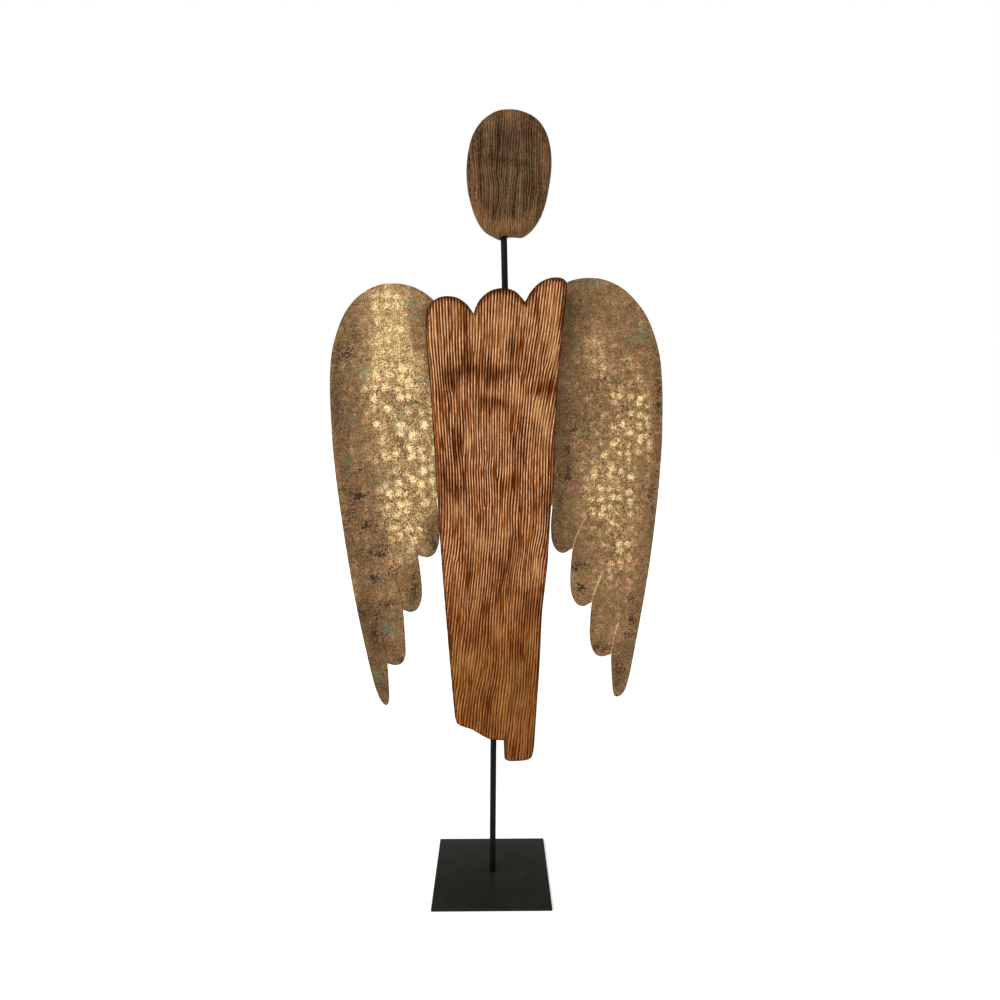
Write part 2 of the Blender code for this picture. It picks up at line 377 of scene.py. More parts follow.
@dataclass(frozen=True)
class BrushedPine:
    """Brushed and waxed softwood: pale proud summerwood, and dark stain down in the worn springwood.

    The foot, the lobes and the fading are heights in metres between which the colours change.
    The bright crest lines are painted highlight of the wax sheen, and the dark rim is partly charred wood
    and partly painted shade on the rounded edge.
    """

    # Painted highlight of the wax sheen along the crests, with a darker copy for the foot
    crest: Colour = (246, 194, 148)
    crest_highlight_low: Colour = (196, 144, 92)
    pale: Colour = (200, 141, 92)
    pale_low: Colour = (172, 118, 64)
    ridge: Colour = (138, 74, 18)
    ridge_low: Colour = (142, 88, 38)
    dark: Colour = (84, 32, 0)
    groove: Colour = (24, 0, 0)
    stain: Colour = (160, 128, 92)
    worn: Colour = (180, 133, 80)
    # Darkening along the rounded edge: partly charred wood, partly painted shade on the rounding
    rim: Colour = (48, 28, 14)
    edge: Colour = (148, 124, 108)
    gloss: Colour = (255, 196, 130)
    foot: Reach = (0.44, 0.28)
    lobes: Reach = (0.69, 0.76)
    fading: Reach = (0.3, 0.6)
    relief: float = 0.25 * MM

    def material(self) -> Material:
        """Build the material.

        Returns:
            The material, which reads the plank's attributes.
        """
        s = WoodSurface("brushed_pine", 0.015, self.gloss, 0.45)
        stain, worn, pale, rim, hole = s.attributes("stain", "worn", "pale", "rim", "hole")
        z = s.along[2]
        band = s.noise(s.place, (9, 9, 34), 3, 0.6)
        low = s.smooth(z, *self.foot)
        glow, golden = s.ragged(pale, s.patch, 0.5, 0.0, 1.0), s.ragged(worn, s.patch, 0.4, 0.0, 0.8)
        # Painted highlight along the crests, weaker where worn and lower down
        lit = s.times(s.crest, s.smooth(s.fleck, 0.68, 0.46, 0.6, 0.95))
        lit = s.times(lit, s.plus(s.smooth(z, *self.fading, 0.7, 1.0), worn, -0.5))
        # How far in the dark edge reaches, in millimetres, wider up on the lobes
        dark_edge_width = s.plus(1.5, s.smooth(z, *self.lobes), s.smooth(s.fibre, 0.35, 0.65, 0.8, 3.2))
        wood = s.coats(
            s.mix(low, self.ridge, self.ridge_low),
            (s.smooth(s.by_ring, 0.42, 0.66, 0, 0.8), self.dark),
            (s.smooth(s.fibre, 0.45, 0.75, 0, 0.5), self.dark),
            (s.smooth(band, 0.5, 0.75, 0, 0.4), self.dark),
            (s.times(glow, s.smooth(s.fibre, 0.3, 0.7, 0.9, 0.5)), s.mix(low, self.pale, self.pale_low)),
            (s.times(golden, s.smooth(s.fibre, 0.3, 0.7, 0.95, 0.7)), self.worn),
            (lit, s.mix(low, self.crest, self.crest_highlight_low)),
            (s.smooth(s.hair, 0.54, 0.66, 0, 0.5), self.dark),
            (s.smooth(s.grit, 0.52, 0.68, 0, 0.25), self.dark),
            (s.smooth(s.groove, 0.0, 0.4, 0, 0.6), self.dark),
            (s.smooth(s.groove, 0.25, 0.8, 0, s.smooth(z, *self.fading, 0.65, 1.0)), self.groove),
            (s.ragged(stain, s.patch, 0.6, 0.0, 1.0), self.stain, "MULTIPLY"),
            # Painted shade and charring on the rounded edge: a broad darkening, then a narrow dark rim
            (s.smooth(rim, s.times(dark_edge_width, 2.4), dark_edge_width, 0, 0.72), self.edge, "MULTIPLY"),
            (s.smooth(rim, dark_edge_width, 0.4, 0, 0.9), self.rim),
            # Painted shade in the gap round the rod: the hole walls take the groove colour
            (hole, self.groove),
        )
        rough = s.smooth(s.groove, 0.0, 0.8, 0.5, 0.8)
        return s.finish(wood, rough, s.plus(s.fibre, s.fleck, 0.8), self.relief)


@dataclass(frozen=True)
class OldWood:
    """Grey-brown weathered wood, oiled by handling along its rim, with painted highlight on its crests and
    lower edge.
    """

    # Painted highlight along the crests, also used for light speckles
    crest: Colour = (164, 136, 102)
    ridge: Colour = (104, 80, 56)
    dark: Colour = (56, 36, 18)
    warm: Colour = (134, 93, 58)
    groove: Colour = (16, 6, 0)
    stain: Colour = (152, 136, 128)
    worn: Colour = (104, 80, 52)
    gloss: Colour = (255, 205, 150)
    relief: float = 0.3 * MM

    def material(self) -> Material:
        """Build the material.

        Returns:
            The material, which reads the plank's attributes.
        """
        s = WoodSurface("old_wood", 0.03, self.gloss, 0.55)
        stain, worn, warm, hole = s.attributes("stain", "worn", "warm", "hole")
        broad = s.noise(s.place, 30, 3, 0.55)
        # The warm oiled colour, partly a painted highlight on the lower edge
        oiled_and_lit = s.times(s.ragged(warm, broad, 0.8, 0.0, 1.0), s.smooth(s.fibre, 0.35, 0.65, 0.95, 0.6))
        line = s.times(s.groove, s.smooth(s.grit, 0.3, 0.55, 1.0, 0.5))
        wood = s.coats(
            s.mix(s.smooth(s.by_ring, 0.4, 0.64), self.ridge, self.dark),
            (s.smooth(s.patch, 0.45, 0.65, 0, 0.5), self.dark),
            (oiled_and_lit, self.warm),
            (s.times(s.crest, s.smooth(s.grit, 0.42, 0.58, 0.1, 0.7)), self.crest),
            (s.smooth(s.grit, 0.42, 0.3, 0, 0.5), self.crest),
            (s.times(s.ragged(worn, broad, 0.6), 0.6), self.worn),
            (s.smooth(s.grit, 0.5, 0.66, 0, 0.6), self.dark),
            (s.smooth(s.hair, 0.52, 0.64, 0, 0.5), self.groove),
            (s.smooth(line, 0.1, 0.8, 0, 0.8), self.groove),
            (s.times(s.sawn(), 0.95), self.groove),
            (s.ragged(stain, broad, 0.6, 0.0, 1.0), self.stain, "MULTIPLY"),
            # Painted shade in the gap round the rod: the hole walls take the groove colour
            (hole, self.groove),
        )
        return s.finish(wood, s.smooth(broad, 0.3, 0.7, 0.55, 0.75), s.plus(s.fibre, s.grit), self.relief)


@dataclass(frozen=True)
class AgedBrass:
    """Hammered sheet brass gone brown, with verdigris and soot in its hollows and a golden sheen on it.

    Its golden sheen is mostly painted reflection of the lamp and partly rubbed gold, and its dimples carry
    painted glints, which show most below the glint heights. Painted shade darkens its outline and, with dull
    patina, its darker spots.
    Its four ramps run from the darkest tone to the lightest, their lightest stops being painted glints.
    """

    name: str = "aged_brass"
    golden: tuple[Colour, ...] = ((40, 22, 0), (92, 66, 32), (136, 106, 65), (194, 159, 107), (255, 233, 168))
    rosy: tuple[Colour, ...] = ((46, 24, 6), (98, 66, 38), (145, 106, 75), (198, 154, 116), (255, 224, 182))
    grey: tuple[Colour, ...] = ((34, 28, 8), (82, 72, 44), (122, 108, 76), (172, 156, 114), (244, 230, 174))
    green: tuple[Colour, ...] = ((44, 42, 24), (82, 78, 50), (114, 110, 78), (152, 144, 104), (202, 188, 142))
    base: float = 0.41
    # How much the painted sheen lifts the tone
    shine: float = 0.33
    contrast: float = 0.95
    # Painted glints in the dimples: their strength, and the heights below which they are full
    glint_strength: float = 0.3
    glint_heights: Reach = (0.68, 0.64)
    # Painted highlight along the slit edges
    slit_highlight: float = 0.0
    blush: float = 0.8
    relief: float = 0.15 * MM

    def material(self) -> Material:
        """Build the material.

        Returns:
            The material, which reads the wing's attributes.
        """
        s = Surface(self.name, 0.3)
        polish, dull, green, soot = s.attributes("polish", "dull", "verdigris", "soot")
        dimple, rim, slit = s.attributes("dimple", "rim", "slit")
        layers = (22, 3, 0.55), (85, 3, 0.6), (760, 1, 0.5)
        broad, blotch, speck = (s.noise(s.place, *layer) for layer in layers)
        other = s.noise(s.place, (110, 60, 140), 2, 0.55)
        patch = s.noise(s.place, (60, 60, 90), 3, 0.6)
        upright, level = (s.noise(s.place, scale, 1, 0.6) for scale in ((760, 300, 280), (280, 300, 760)))
        weave = s.total(0.5, (upright, self.contrast), (level, self.contrast), (speck, 1.5 * self.contrast))
        # Painted glints in the hammered dimples
        dimple_glint = s.smooth(s.total(dimple, (other, 0.5), (speck, 0.7)), 0.0, 1.0)
        # Golden sheen: mostly painted reflection of the lamp, partly rubbed gold
        golden_sheen = s.smooth(polish, 0.0, 0.8)
        sooty = s.ragged(s.total(soot, (weave, -1.2)), blotch, 1.5, 0.25, 0.75)
        sooty = s.times(sooty, s.smooth(soot, 0.0, 0.2, 0.3, 1.0))
        glint_strength = s.times(s.smooth(s.along[2], *self.glint_heights, 0.3 * self.glint_strength, self.glint_strength), golden_sheen)
        tone = s.plus(self.base, golden_sheen, self.shine)
        # Darker where dull patina and painted shade lie, next to the body and away from the lamp
        tone = s.plus(tone, s.ragged(dull, blotch, 0.8, 0.0, 1.0), -0.16)
        tone = s.total(
            tone, (broad, 0.25), (blotch, 0.45 * self.contrast), (dimple_glint, s.plus(0.08, glint_strength)),
            (weave, s.plus(0.48, golden_sheen, 0.32)),
        )
        # Painted shade along the sheet's outline, and painted highlight along the slit edges
        for mark, weight in ((sooty, -0.45), (s.smooth(rim, 1.8, 0.3), -0.12), (slit, self.slit_highlight)):
            tone = s.plus(tone, mark, weight)
        pink = s.times(s.smooth(patch, 0.46, 0.6, 0, self.blush), s.smooth(golden_sheen, 0.2, 1.0, 1.0, 0.35))
        metal = s.coats(
            s.ramp(tone, self.golden),
            (pink, s.ramp(tone, self.rosy)),
            (s.smooth(patch, 0.46, 0.34, 0, 0.45), s.ramp(tone, self.grey)),
            (s.ragged(green, blotch, 1.2, 0.2, 0.8), s.ramp(tone, self.green)),
        )
        # Light tone, painted sheen and glints among it, makes the sheet glossier and more metallic
        light_tone = s.smooth(tone, 0.5, 1.0)
        rough, metallic = s.smooth(light_tone, 0.0, 1.0, 0.55, 0.42), s.smooth(light_tone, 0.0, 1.0, 0.25, 0.55)
        return s.finish(metal, rough, s.plus(speck, blotch, 2.0), self.relief, metallic)


@dataclass(frozen=True)
class BlackSteel:
    """Black paint on steel, a little greener and duller on the plate than on the rods."""

    name: str
    colour: Colour
    worn: Colour
    roughness: float
    gloss: float
    relief: float = 0.03 * MM

    def material(self) -> Material:
        """Build the material.

        Returns:
            The material.
        """
        s = Surface(self.name, self.gloss)
        cloud, grit = s.noise(s.place, 40, 3, 0.5), s.noise(s.place, 1600, 2, 0.6)
        black = s.coats(
            self.colour,
            (s.smooth(cloud, 0.4, 0.7), self.worn),
            (s.smooth(grit, 0.6, 0.75, 0, 0.35), self.worn),
        )
        rough = s.smooth(cloud, 0.3, 0.7, self.roughness - 0.05, self.roughness + 0.07)
        return s.finish(black, rough, grit, self.relief)


# ---------------------------------------------------------------- rules for relief


def tree_inputs(tree: Tree, *sizes: str) -> Node:
    """Give a geometry tree its output and its named inputs, a seed and a material among them.

    Args:
        tree: The tree.
        sizes: The names of its number inputs.

    Returns:
        The tree's input node.
    """
    kinds = dict.fromkeys(sizes, "Float") | {"Seed": "Int", "Material": "Material"}
    for name, way, kind in (
        ("Geometry", "INPUT", "Geometry"), ("Geometry", "OUTPUT", "Geometry"),
        *((name, "INPUT", kind) for name, kind in kinds.items()),
    ):
        tree.interface.new_socket(name, in_out=way, socket_type=f"NodeSocket{kind}")
    return tree.nodes.new("NodeGroupInput")


def tree_output(g: Graph, given: Any, offset: Socket, kept: dict[str, Socket]) -> None:
    """Move the vertices, store attributes on them, and end the tree.

    Args:
        g: The tree's graph.
        given: The tree's input sockets.
        offset: How far each vertex moves.
        kept: Values to store, by attribute name.
    """
    mesh = g.add("GeometryNodeSetPosition", {"Geometry": given["Geometry"], "Offset": offset}).outputs[0]
    for name, value in kept.items():
        inputs = {"Geometry": mesh, "Name": name, "Value": value}
        mesh = g.add("GeometryNodeStoreNamedAttribute", inputs, data_type="FLOAT", domain="POINT").outputs[0]
    real = g.add("GeometryNodeRealizeInstances", {0: mesh})
    dressed = g.add("GeometryNodeSetMaterial", {"Geometry": real.outputs[0], "Material": given["Material"]})
    g.add("NodeGroupOutput", {0: dressed.outputs[0]})


def brushed_grain() -> Tree:
    """Build the rule for brushed wood: a groove at every whole ring, uneven along its length, and saw marks.

    Returns:
        The geometry tree.
    """
    g = Graph(bpy.data.node_groups.new("brushed_grain", "GeometryNodeTree"))
    given = tree_inputs(
        g.tree, "Groove Depth", "Groove Width", "Crown", "Chip Depth", "Saw Depth", "Saw Spacing",
        "Saw Slope", "Edge Share", "Least Carve", "Breaks",
    ).outputs
    ring, worn, saw, hole = g.attributes("ring", "worn", "saw", "hole")
    x, y, z = g.add("ShaderNodeSeparateXYZ", {0: g.add("GeometryNodeInputPosition").outputs[0]}).outputs
    # 0 half-way up a ring's ridge, 1 in the middle of its groove
    closeness = g.math("ABSOLUTE", g.plus(-1, g.math("FRACT", ring), 2))
    nearest = g.plus(g.times(given["Seed"], WOOD_SEED_STEP), g.math("FLOOR", g.math("ADD", ring, 0.5)), 3.7)
    along = g.vector(nearest, g.times(y, 10), g.times(z, given["Breaks"]))
    uneven, second = (g.noise(along, scale, 2, 0.6) for scale in (1.0, (1.3, 1.0, 2.6)))
    width = g.times(given["Groove Width"], g.smooth(uneven, 0.3, 0.7, 0.7, 1.3))
    carve = g.times(g.smooth(second, 0.34, 0.6, given["Least Carve"], 1.0), g.plus(1, worn, -0.7))
    groove = g.times(g.smooth(closeness, g.math("SUBTRACT", 1, width), g.plus(1, width, -0.2)), carve)
    crown = g.times(g.times(closeness, closeness), given["Crown"])
    fine = g.vector(g.times(ring, 1.6), g.times(y, 120), g.times(z, 190))
    chips = g.times(g.smooth(g.noise(fine, 1.0, 2, 0.6), 0.58, 0.72), given["Chip Depth"])
    turns = g.math("DIVIDE", g.times(g.plus(z, x, given["Saw Slope"]), 2 * math.pi), given["Saw Spacing"])
    sawn = g.times(saw, g.smooth(g.math("COSINE", turns), -0.2, 0.9))
    depth = g.plus(g.math("ADD", crown, chips), groove, given["Groove Depth"])
    depth = g.times(g.plus(depth, sawn, given["Saw Depth"]), g.math("SUBTRACT", 1, hole))
    normal = g.add("GeometryNodeInputNormal").outputs[0]
    facing = g.math("ABSOLUTE", g.add("ShaderNodeSeparateXYZ", {0: normal}).outputs[1])
    depth = g.times(depth, g.smooth(facing, 0.2, 0.95, given["Edge Share"], 1.0))
    offset = g.add("ShaderNodeVectorMath", {0: normal, "Scale": g.times(depth, -1)}, operation="SCALE")
    # Distance in rings from the painted highlight line
    shifted = g.math("FRACT", g.math("ADD", ring, 0.5 - CREST_PLACE))
    crest = g.math("ABSOLUTE", g.math("SUBTRACT", shifted, 0.5))
    tree_output(g, given, offset.outputs[0], {"carve": carve, "wave": closeness, "crest": crest})
    return g.tree


def hammered_sheet() -> Tree:
    """Build the rule for hammered sheet: shallow round dimples pushed backwards, on a slow wave.

    Returns:
        The geometry tree.
    """
    g = Graph(bpy.data.node_groups.new("hammered_sheet", "GeometryNodeTree"))
    given = tree_inputs(g.tree, "Dimple Spacing", "Dimple Depth", "Wave Depth", "Flat Reach").outputs
    x, _, z = g.add("ShaderNodeSeparateXYZ", {0: g.add("GeometryNodeInputPosition").outputs[0]}).outputs
    flat = g.vector(x, g.times(given["Seed"], SHEET_SEED_STEP), z)
    warp = g.add("ShaderNodeTexNoise", {"Vector": flat, "Scale": 60.0, "Detail": 2.0}).outputs["Color"]
    bend = {0: warp, 1: (6 * MM, 6 * MM, 0.0), 2: g.vector(g.plus(x, given["Seed"], SHEET_SEED_STEP), z)}
    bent = g.add("ShaderNodeVectorMath", bend, operation="MULTIPLY_ADD").outputs[0]
    inputs = {"Vector": bent, "Scale": g.math("DIVIDE", 1, given["Dimple Spacing"]), "Randomness": 0.75}
    cells = g.add("ShaderNodeTexVoronoi", inputs, feature="F1", voronoi_dimensions="2D").outputs
    blow = g.add("ShaderNodeSeparateXYZ", {0: cells["Color"]}).outputs[0]
    dimple = g.times(g.smooth(cells["Distance"], 0.6, 0.08), g.smooth(blow, 0.0, 0.8, 0.35, 1.0))
    free = g.smooth(g.math("ABSOLUTE", x), given["Flat Reach"], g.math("ADD", given["Flat Reach"], 50 * MM))
    wave = g.times(g.smooth(g.noise(flat, 9.0, 1, 0.5), 0.3, 0.7), free)
    back = g.plus(g.times(wave, given["Wave Depth"]), dimple, given["Dimple Depth"])
    tree_output(g, given, g.vector(0.0, back), {"dimple": dimple})
    return g.tree


def apply_rule(thing: Thing, tree: Tree, values: dict[str, Any]) -> None:
    """Run a geometry tree on an object and keep the plain mesh that comes out.

    Args:
        thing: The object, not yet evaluated.
        tree: The rule.
        values: Its inputs by name.
    """
    modifier = thing.modifiers.new(tree.name, "NODES")
    modifier.node_group = tree
    sockets = {i.name: i.identifier for i in tree.interface.items_tree if i.in_out == "INPUT"}
    for name, value in values.items():
        modifier[sockets[name]] = value
    keep_result(thing)


def keep_result(thing: Thing) -> None:
    """Turn an object with modifiers into the plain mesh they make.

    Args:
        thing: The object.
    """
    graph = bpy.context.evaluated_depsgraph_get()
    graph.update()
    shown = thing.evaluated_get(graph)
    made = bpy.data.meshes.new_from_object(shown, preserve_all_data_layers=True, depsgraph=graph)
    thing.modifiers.clear()
    thing.data = made
    made.name = thing.name


# ---------------------------------------------------------------- outlines and meshes


def section(node: str, y: float) -> list[Vector]:
    """Slice a CAD node at a depth.

    Args:
        node: The node's name.
        y: The depth in metres.

    Returns:
        The longest loop of the cut, anticlockwise for the viewer, as X and Z in millimetres.
    """
    bm = bmesh.new()
    bm.from_mesh(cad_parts[node].data)
    bmesh.ops.remove_doubles(bm, verts=bm.verts, dist=0.002 * MM)
    whole = bm.verts[:] + bm.edges[:] + bm.faces[:]
    cut = bmesh.ops.bisect_plane(bm, geom=whole, plane_co=(0, y, 0), plane_no=(0, 1, 0))["geom_cut"]
    edges = {item for item in cut if isinstance(item, bmesh.types.BMEdge)}
    loops = []
    while edges:
        edge = edges.pop()
        first, here = edge.verts
        loop = [first]
        while here is not first:
            loop.append(here)
            edge = next(e for e in here.link_edges if e in edges)
            edges.discard(edge)
            here = edge.other_vert(here)
        loops.append([Vector((v.co.x, v.co.z)) / MM for v in loop])
    bm.free()
    loop = max(loops, key=len)
    area = sum(a.cross(b) for a, b in zip(loop, loop[1:] + loop[:1]))
    return loop if area > 0 else loop[::-1]


def hermite(t: Any, start: Any, leaving: Any, end: Any, arriving: Any) -> Any:
    """Follow the smooth curve from one point to another.

    Args:
        t: The share of the way.
        start: The first point.
        leaving: The slope there, times the span.
        end: The second point.
        arriving: The slope there, times the span.

    Returns:
        The place on the curve.
    """
    a, b = 2 * t**3 - 3 * t**2 + 1, t**3 - 2 * t**2 + t
    return a * start + b * leaving + (1 - a) * end + (t**3 - t**2) * arriving


def smooth_outline(
    node: str, y: float, spacing: float, corner: float = 38.0, straight: float = 0.4, margin: float = 0.01
) -> np.ndarray:
    """Slice a CAD node, round the slice off between its corners, and space its points evenly.

    Args:
        node: The node's name.
        y: The depth of the slice in millimetres.
        spacing: The distance between the new points.
        corner: The turn, in degrees, from which a point stays a corner.
        straight: The turn, in degrees, up to which a point is left out.
        margin: How far the result keeps from the sides of the node's box.

    Returns:
        The new points, one in each row, inside the node's own box.
    """
    def turn(before: Vector, at: Vector, after: Vector) -> float:
        """Give the turn at a point, in degrees."""
        return abs(math.degrees((at - before).angle_signed(after - at, 0.0)))

    loop = section(node, y * MM)
    corners = zip(loop[-1:] + loop[:-1], loop, loop[1:] + loop[:1])
    kept = [p for q, p, r in corners if turn(q, p, r) > straight]
    count = len(kept)
    sharp = [turn(kept[i - 1], kept[i], kept[(i + 1) % count]) > corner for i in range(count)]
    start = sharp.index(True) if any(sharp) else 0
    path: list[Vector] = []
    fixed: list[int] = []
    for step in range(count):
        i = (start + step) % count
        p0, p1, p2, p3 = (kept[(i + k) % count] for k in (-1, 0, 1, 2))
        if sharp[i]:
            fixed.append(len(path))
            p0 = 2 * p1 - p2
        if sharp[(i + 1) % count]:
            p3 = 2 * p2 - p1
        first, span, last = (math.sqrt(max((b - a).length, 1e-6)) for a, b in ((p0, p1), (p1, p2), (p2, p3)))
        chord = (p2 - p1) / span
        leaving = span * ((p1 - p0) / first - (p2 - p0) / (first + span) + chord)
        arriving = span * (chord - (p3 - p1) / (span + last) + (p3 - p2) / last)
        steps = max(2, round((p2 - p1).length / spacing * 2))
        path += [hermite(k / steps, p1, leaving, p2, arriving) for k in range(steps)]
    points = np.array([tuple(p) for p in path])
    bounds = (fixed or [0]) + [len(points)]
    ring = np.concatenate([points, points[:1]])
    result = []
    for low, high in zip(bounds, bounds[1:]):
        run = ring[low:high + 1]
        reach = np.concatenate([[0], np.cumsum(np.hypot(*np.diff(run, axis=0).T))])
        marks = np.linspace(0, reach[-1], max(2, round(reach[-1] / spacing) + 1))[:-1]
        result.append(np.stack([np.interp(marks, reach, run[:, axis]) for axis in (0, 1)], axis=1))
    low, high = (np.array(end)[[0, 2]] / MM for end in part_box(node))
    return np.clip(np.concatenate(result), low + margin, high - margin)


class Outline:
    """A closed outline that measures how far points lie inside it."""

    def __init__(self, points: np.ndarray) -> None:
        """Keep the points, their inward directions and a tree to search them.

        Args:
            points: The outline in millimetres, anticlockwise.
        """
        self.points = points
        along = np.roll(points, -1, axis=0) - np.roll(points, 1, axis=0)
        along /= np.maximum(np.hypot(*along.T), 1e-9)[:, None]
        self.inward = np.stack([-along[:, 1], along[:, 0]], axis=1)
        self.tree = KDTree(len(points))
        for index, (x, z) in enumerate(points):
            self.tree.insert((x, z, 0), index)
        self.tree.balance()

    def distance(self, points: np.ndarray) -> np.ndarray:
        """Give each point's distance to the nearest outline point."""
        return np.array([self.tree.find((x, z, 0))[2] for x, z in points])

    def inside(self, points: np.ndarray) -> np.ndarray:
        """Tell which points lie inside, by counting crossings to their right.

        Args:
            points: X and Z of each in millimetres.

        Returns:
            True for each point inside.
        """
        result = np.zeros(len(points), bool)
        ends = np.roll(self.points, -1, axis=0)
        for (x1, z1), (x2, z2) in zip(self.points, ends):
            if z1 != z2:
                spans = (points[:, 1] >= min(z1, z2)) & (points[:, 1] < max(z1, z2))
                cross = x1 + (points[:, 1] - z1) * (x2 - x1) / (z2 - z1)
                result ^= spans & (cross > points[:, 0])
        return result

    def shifted(self, distance: float, fold: float = 0.97) -> np.ndarray:
        """Move the points inwards and drop those that end nearer to the edge than the fold share of it."""
        moved = self.points + self.inward * distance
        return moved[self.distance(moved) > fold * distance]


@dataclass
class Skin:
    """The closed mesh of a slab: two filled faces and a wall, with edges rounded over.

    Its inner points keep clear of the rounding by a small gap.
    """

    outline: Outline
    front: float
    back: float
    rounding: float
    bands: int
    wall_rows: int
    gap: float = 0.45

    def face(self, grid: np.ndarray, warp: Warp) -> tuple[np.ndarray, np.ndarray, np.ndarray]:
        """Fill the outline.

        Args:
            grid: Inner points in millimetres.
            warp: A map of points to the flat space in which the triangles are chosen.

        Returns:
            The inner points, their depths below the face, and triangles over outline and inner points.
        """
        inner, depths = [], []
        for step in range(1, self.bands + 1):
            angle = math.pi / 2 * step / self.bands
            band = self.outline.shifted(self.rounding * (1 - math.cos(angle)))
            inner.append(band)
            depths.append(np.full(len(band), self.rounding * (1 - math.sin(angle))))
        near = self.outline.inside(grid)
        near[near] = self.outline.distance(grid[near]) > self.rounding + self.gap
        inner.append(grid[near])
        depths.append(np.zeros(near.sum()))
        points = np.concatenate([self.outline.points, *inner])
        count = len(self.outline.points)
        ring = [(i, (i + 1) % count) for i in range(count)]
        made = delaunay_2d_cdt([Vector(p) for p in warp(points).tolist()], ring, [], 1, 1e-5)
        source = [ids[0] for ids in made[3]]
        return points[count:], np.concatenate(depths), np.array([[source[v] for v in f] for f in made[2]])

    def mesh(self, name: str, front_grid: np.ndarray, back_grid: np.ndarray, warp: Warp) -> Thing:
        """Build the slab.

        Args:
            name: The object's name.
            front_grid: Inner points of the front.
            back_grid: Inner points of the back.
            warp: The map in which triangles are chosen.

        Returns:
            The object, in place.
        """
        loop = self.outline.points
        count = len(loop)
        rows = np.linspace(self.front + self.rounding, self.back - self.rounding, self.wall_rows + 1)
        places = [np.stack([loop[:, 0], np.full(count, y), loop[:, 1]], axis=1) for y in rows]
        faces: list[list[int]] = []
        for row in range(self.wall_rows):
            a, b = row * count, (row + 1) * count
            faces += [[a + i, b + i, b + (i + 1) % count, a + (i + 1) % count] for i in range(count)]
        total = count * (self.wall_rows + 1)
        sides = (front_grid, 0, self.front, 1), (back_grid, total - count, self.back, -1)
        for grid, base, level, way in sides:
            inner, depth, triangles = self.face(grid, warp)
            places.append(np.stack([inner[:, 0], level + way * depth, inner[:, 1]], axis=1))
            shifted = np.where(triangles < count, triangles + base, triangles - count + total)
            faces += shifted[:, ::way].tolist()
            total += len(inner)
        mesh = bpy.data.meshes.new(name)
        mesh.from_pydata((np.concatenate(places) * MM).tolist(), [], faces)
        mesh.shade_smooth()
        return new_thing(name, mesh)


def new_thing(name: str, data: Any) -> Thing:
    """Put a mesh, a light or a camera in the scene.

    Args:
        name: The name of its object.
        data: The mesh, light or camera.

    Returns:
        The object.
    """
    thing = bpy.data.objects.new(name, data)
    bpy.context.scene.collection.objects.link(thing)
    return thing


def solid(name: str, bm: bmesh.types.BMesh) -> Thing:
    """Put a bmesh in the scene as an object, and free it.

    Args:
        name: The object's name.
        bm: The bmesh.

    Returns:
        The object.
    """
    mesh = bpy.data.meshes.new(name)
    bm.to_mesh(mesh)
    bm.free()
    return new_thing(name, mesh)


def vertex_places(thing: Thing) -> np.ndarray:
    """Read an object's vertices.

    Args:
        thing: The object.

    Returns:
        Their places in millimetres, one in each row.
    """
    places = np.empty(len(thing.data.vertices) * 3)
    thing.data.vertices.foreach_get("co", places)
    return places.reshape(-1, 3) / MM


def put_attribute(thing: Thing, name: str, values: np.ndarray) -> None:
    """Store one number a vertex."""
    attribute = thing.data.attributes.new(name, "FLOAT", "POINT")
    attribute.data.foreach_set("value", values.astype(np.float32))


def soft_spots(places: np.ndarray, spots: Sequence[Spot], fall: float = 0.7) -> np.ndarray:
    """Add up soft round spots.

    Args:
        places: Vertices in millimetres.
        spots: X, Z, width and height in millimetres, and strength, of each.
        fall: How steeply a spot falls off.

    Returns:
        Their sum at each vertex, at most 1.
    """
    total = np.zeros(len(places))
    for x, z, wide, tall, strength in spots:
        reach = ((places[:, 0] - x) / wide) ** 2 + ((places[:, 2] - z) / tall) ** 2
        total += strength * np.exp(-fall * reach)
    return np.minimum(total, 1)


def ride_and_replace(thing: Thing, node: str) -> Thing:
    """Fix a finished piece to the body and let it stand for its CAD node.

    Args:
        thing: The piece.
        node: The node's name.

    Returns:
        The piece.
    """
    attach(thing, "root")
    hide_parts(node)
    return thing


def steel_piece(
    name: str, bm: bmesh.types.BMesh, material: Material, sharp: float, node: str
) -> Thing:
    """Turn a bmesh into a finished steel piece that stands for its CAD node.

    Args:
        name: The piece's name.
        bm: Its closed shape, freed here.
        material: Its finish.
        sharp: The angle in degrees from which an edge shows as sharp.
        node: The node's name.

    Returns:
        The piece.
    """
    bmesh.ops.recalc_face_normals(bm, faces=bm.faces)
    thing = solid(name, bm)
    thing.data.shade_smooth()
    thing.data.set_sharp_from_angle(angle=math.radians(sharp))
    thing.data.materials.append(material)
    return ride_and_replace(thing, node)


# ---------------------------------------------------------------- grain


@dataclass(frozen=True)
class Bend:
    """A slanting belt in which every ring steps sideways."""

    x: float
    z: float
    slant: float
    half_width: float
    rings: float
    half_length: float

    def shift(self, x: np.ndarray, z: np.ndarray) -> np.ndarray:
        """Give the step that the belt brings.

        Args:
            x: The X of each point in millimetres.
            z: Its Z.

        Returns:
            The step in rings.
        """
        angle = math.radians(self.slant)
        across = (x - self.x) * math.cos(angle) - (z - self.z) * math.sin(angle)
        along = (x - self.x) * math.sin(angle) + (z - self.z) * math.cos(angle)
        return self.rings * np.tanh(across / self.half_width) * np.exp(-((along / self.half_length) ** 2))


@dataclass(frozen=True)
class Fork:
    """A place where one ring splits in two, upward or downward."""

    x: float
    z: float
    way: int

    def shift(self, x: np.ndarray, z: np.ndarray) -> np.ndarray:
        """Give the change in rings, which jumps by a whole one along a line from the fork against its way."""
        return np.arctan2(x - self.x, self.way * (z - self.z)) / (2 * math.pi)


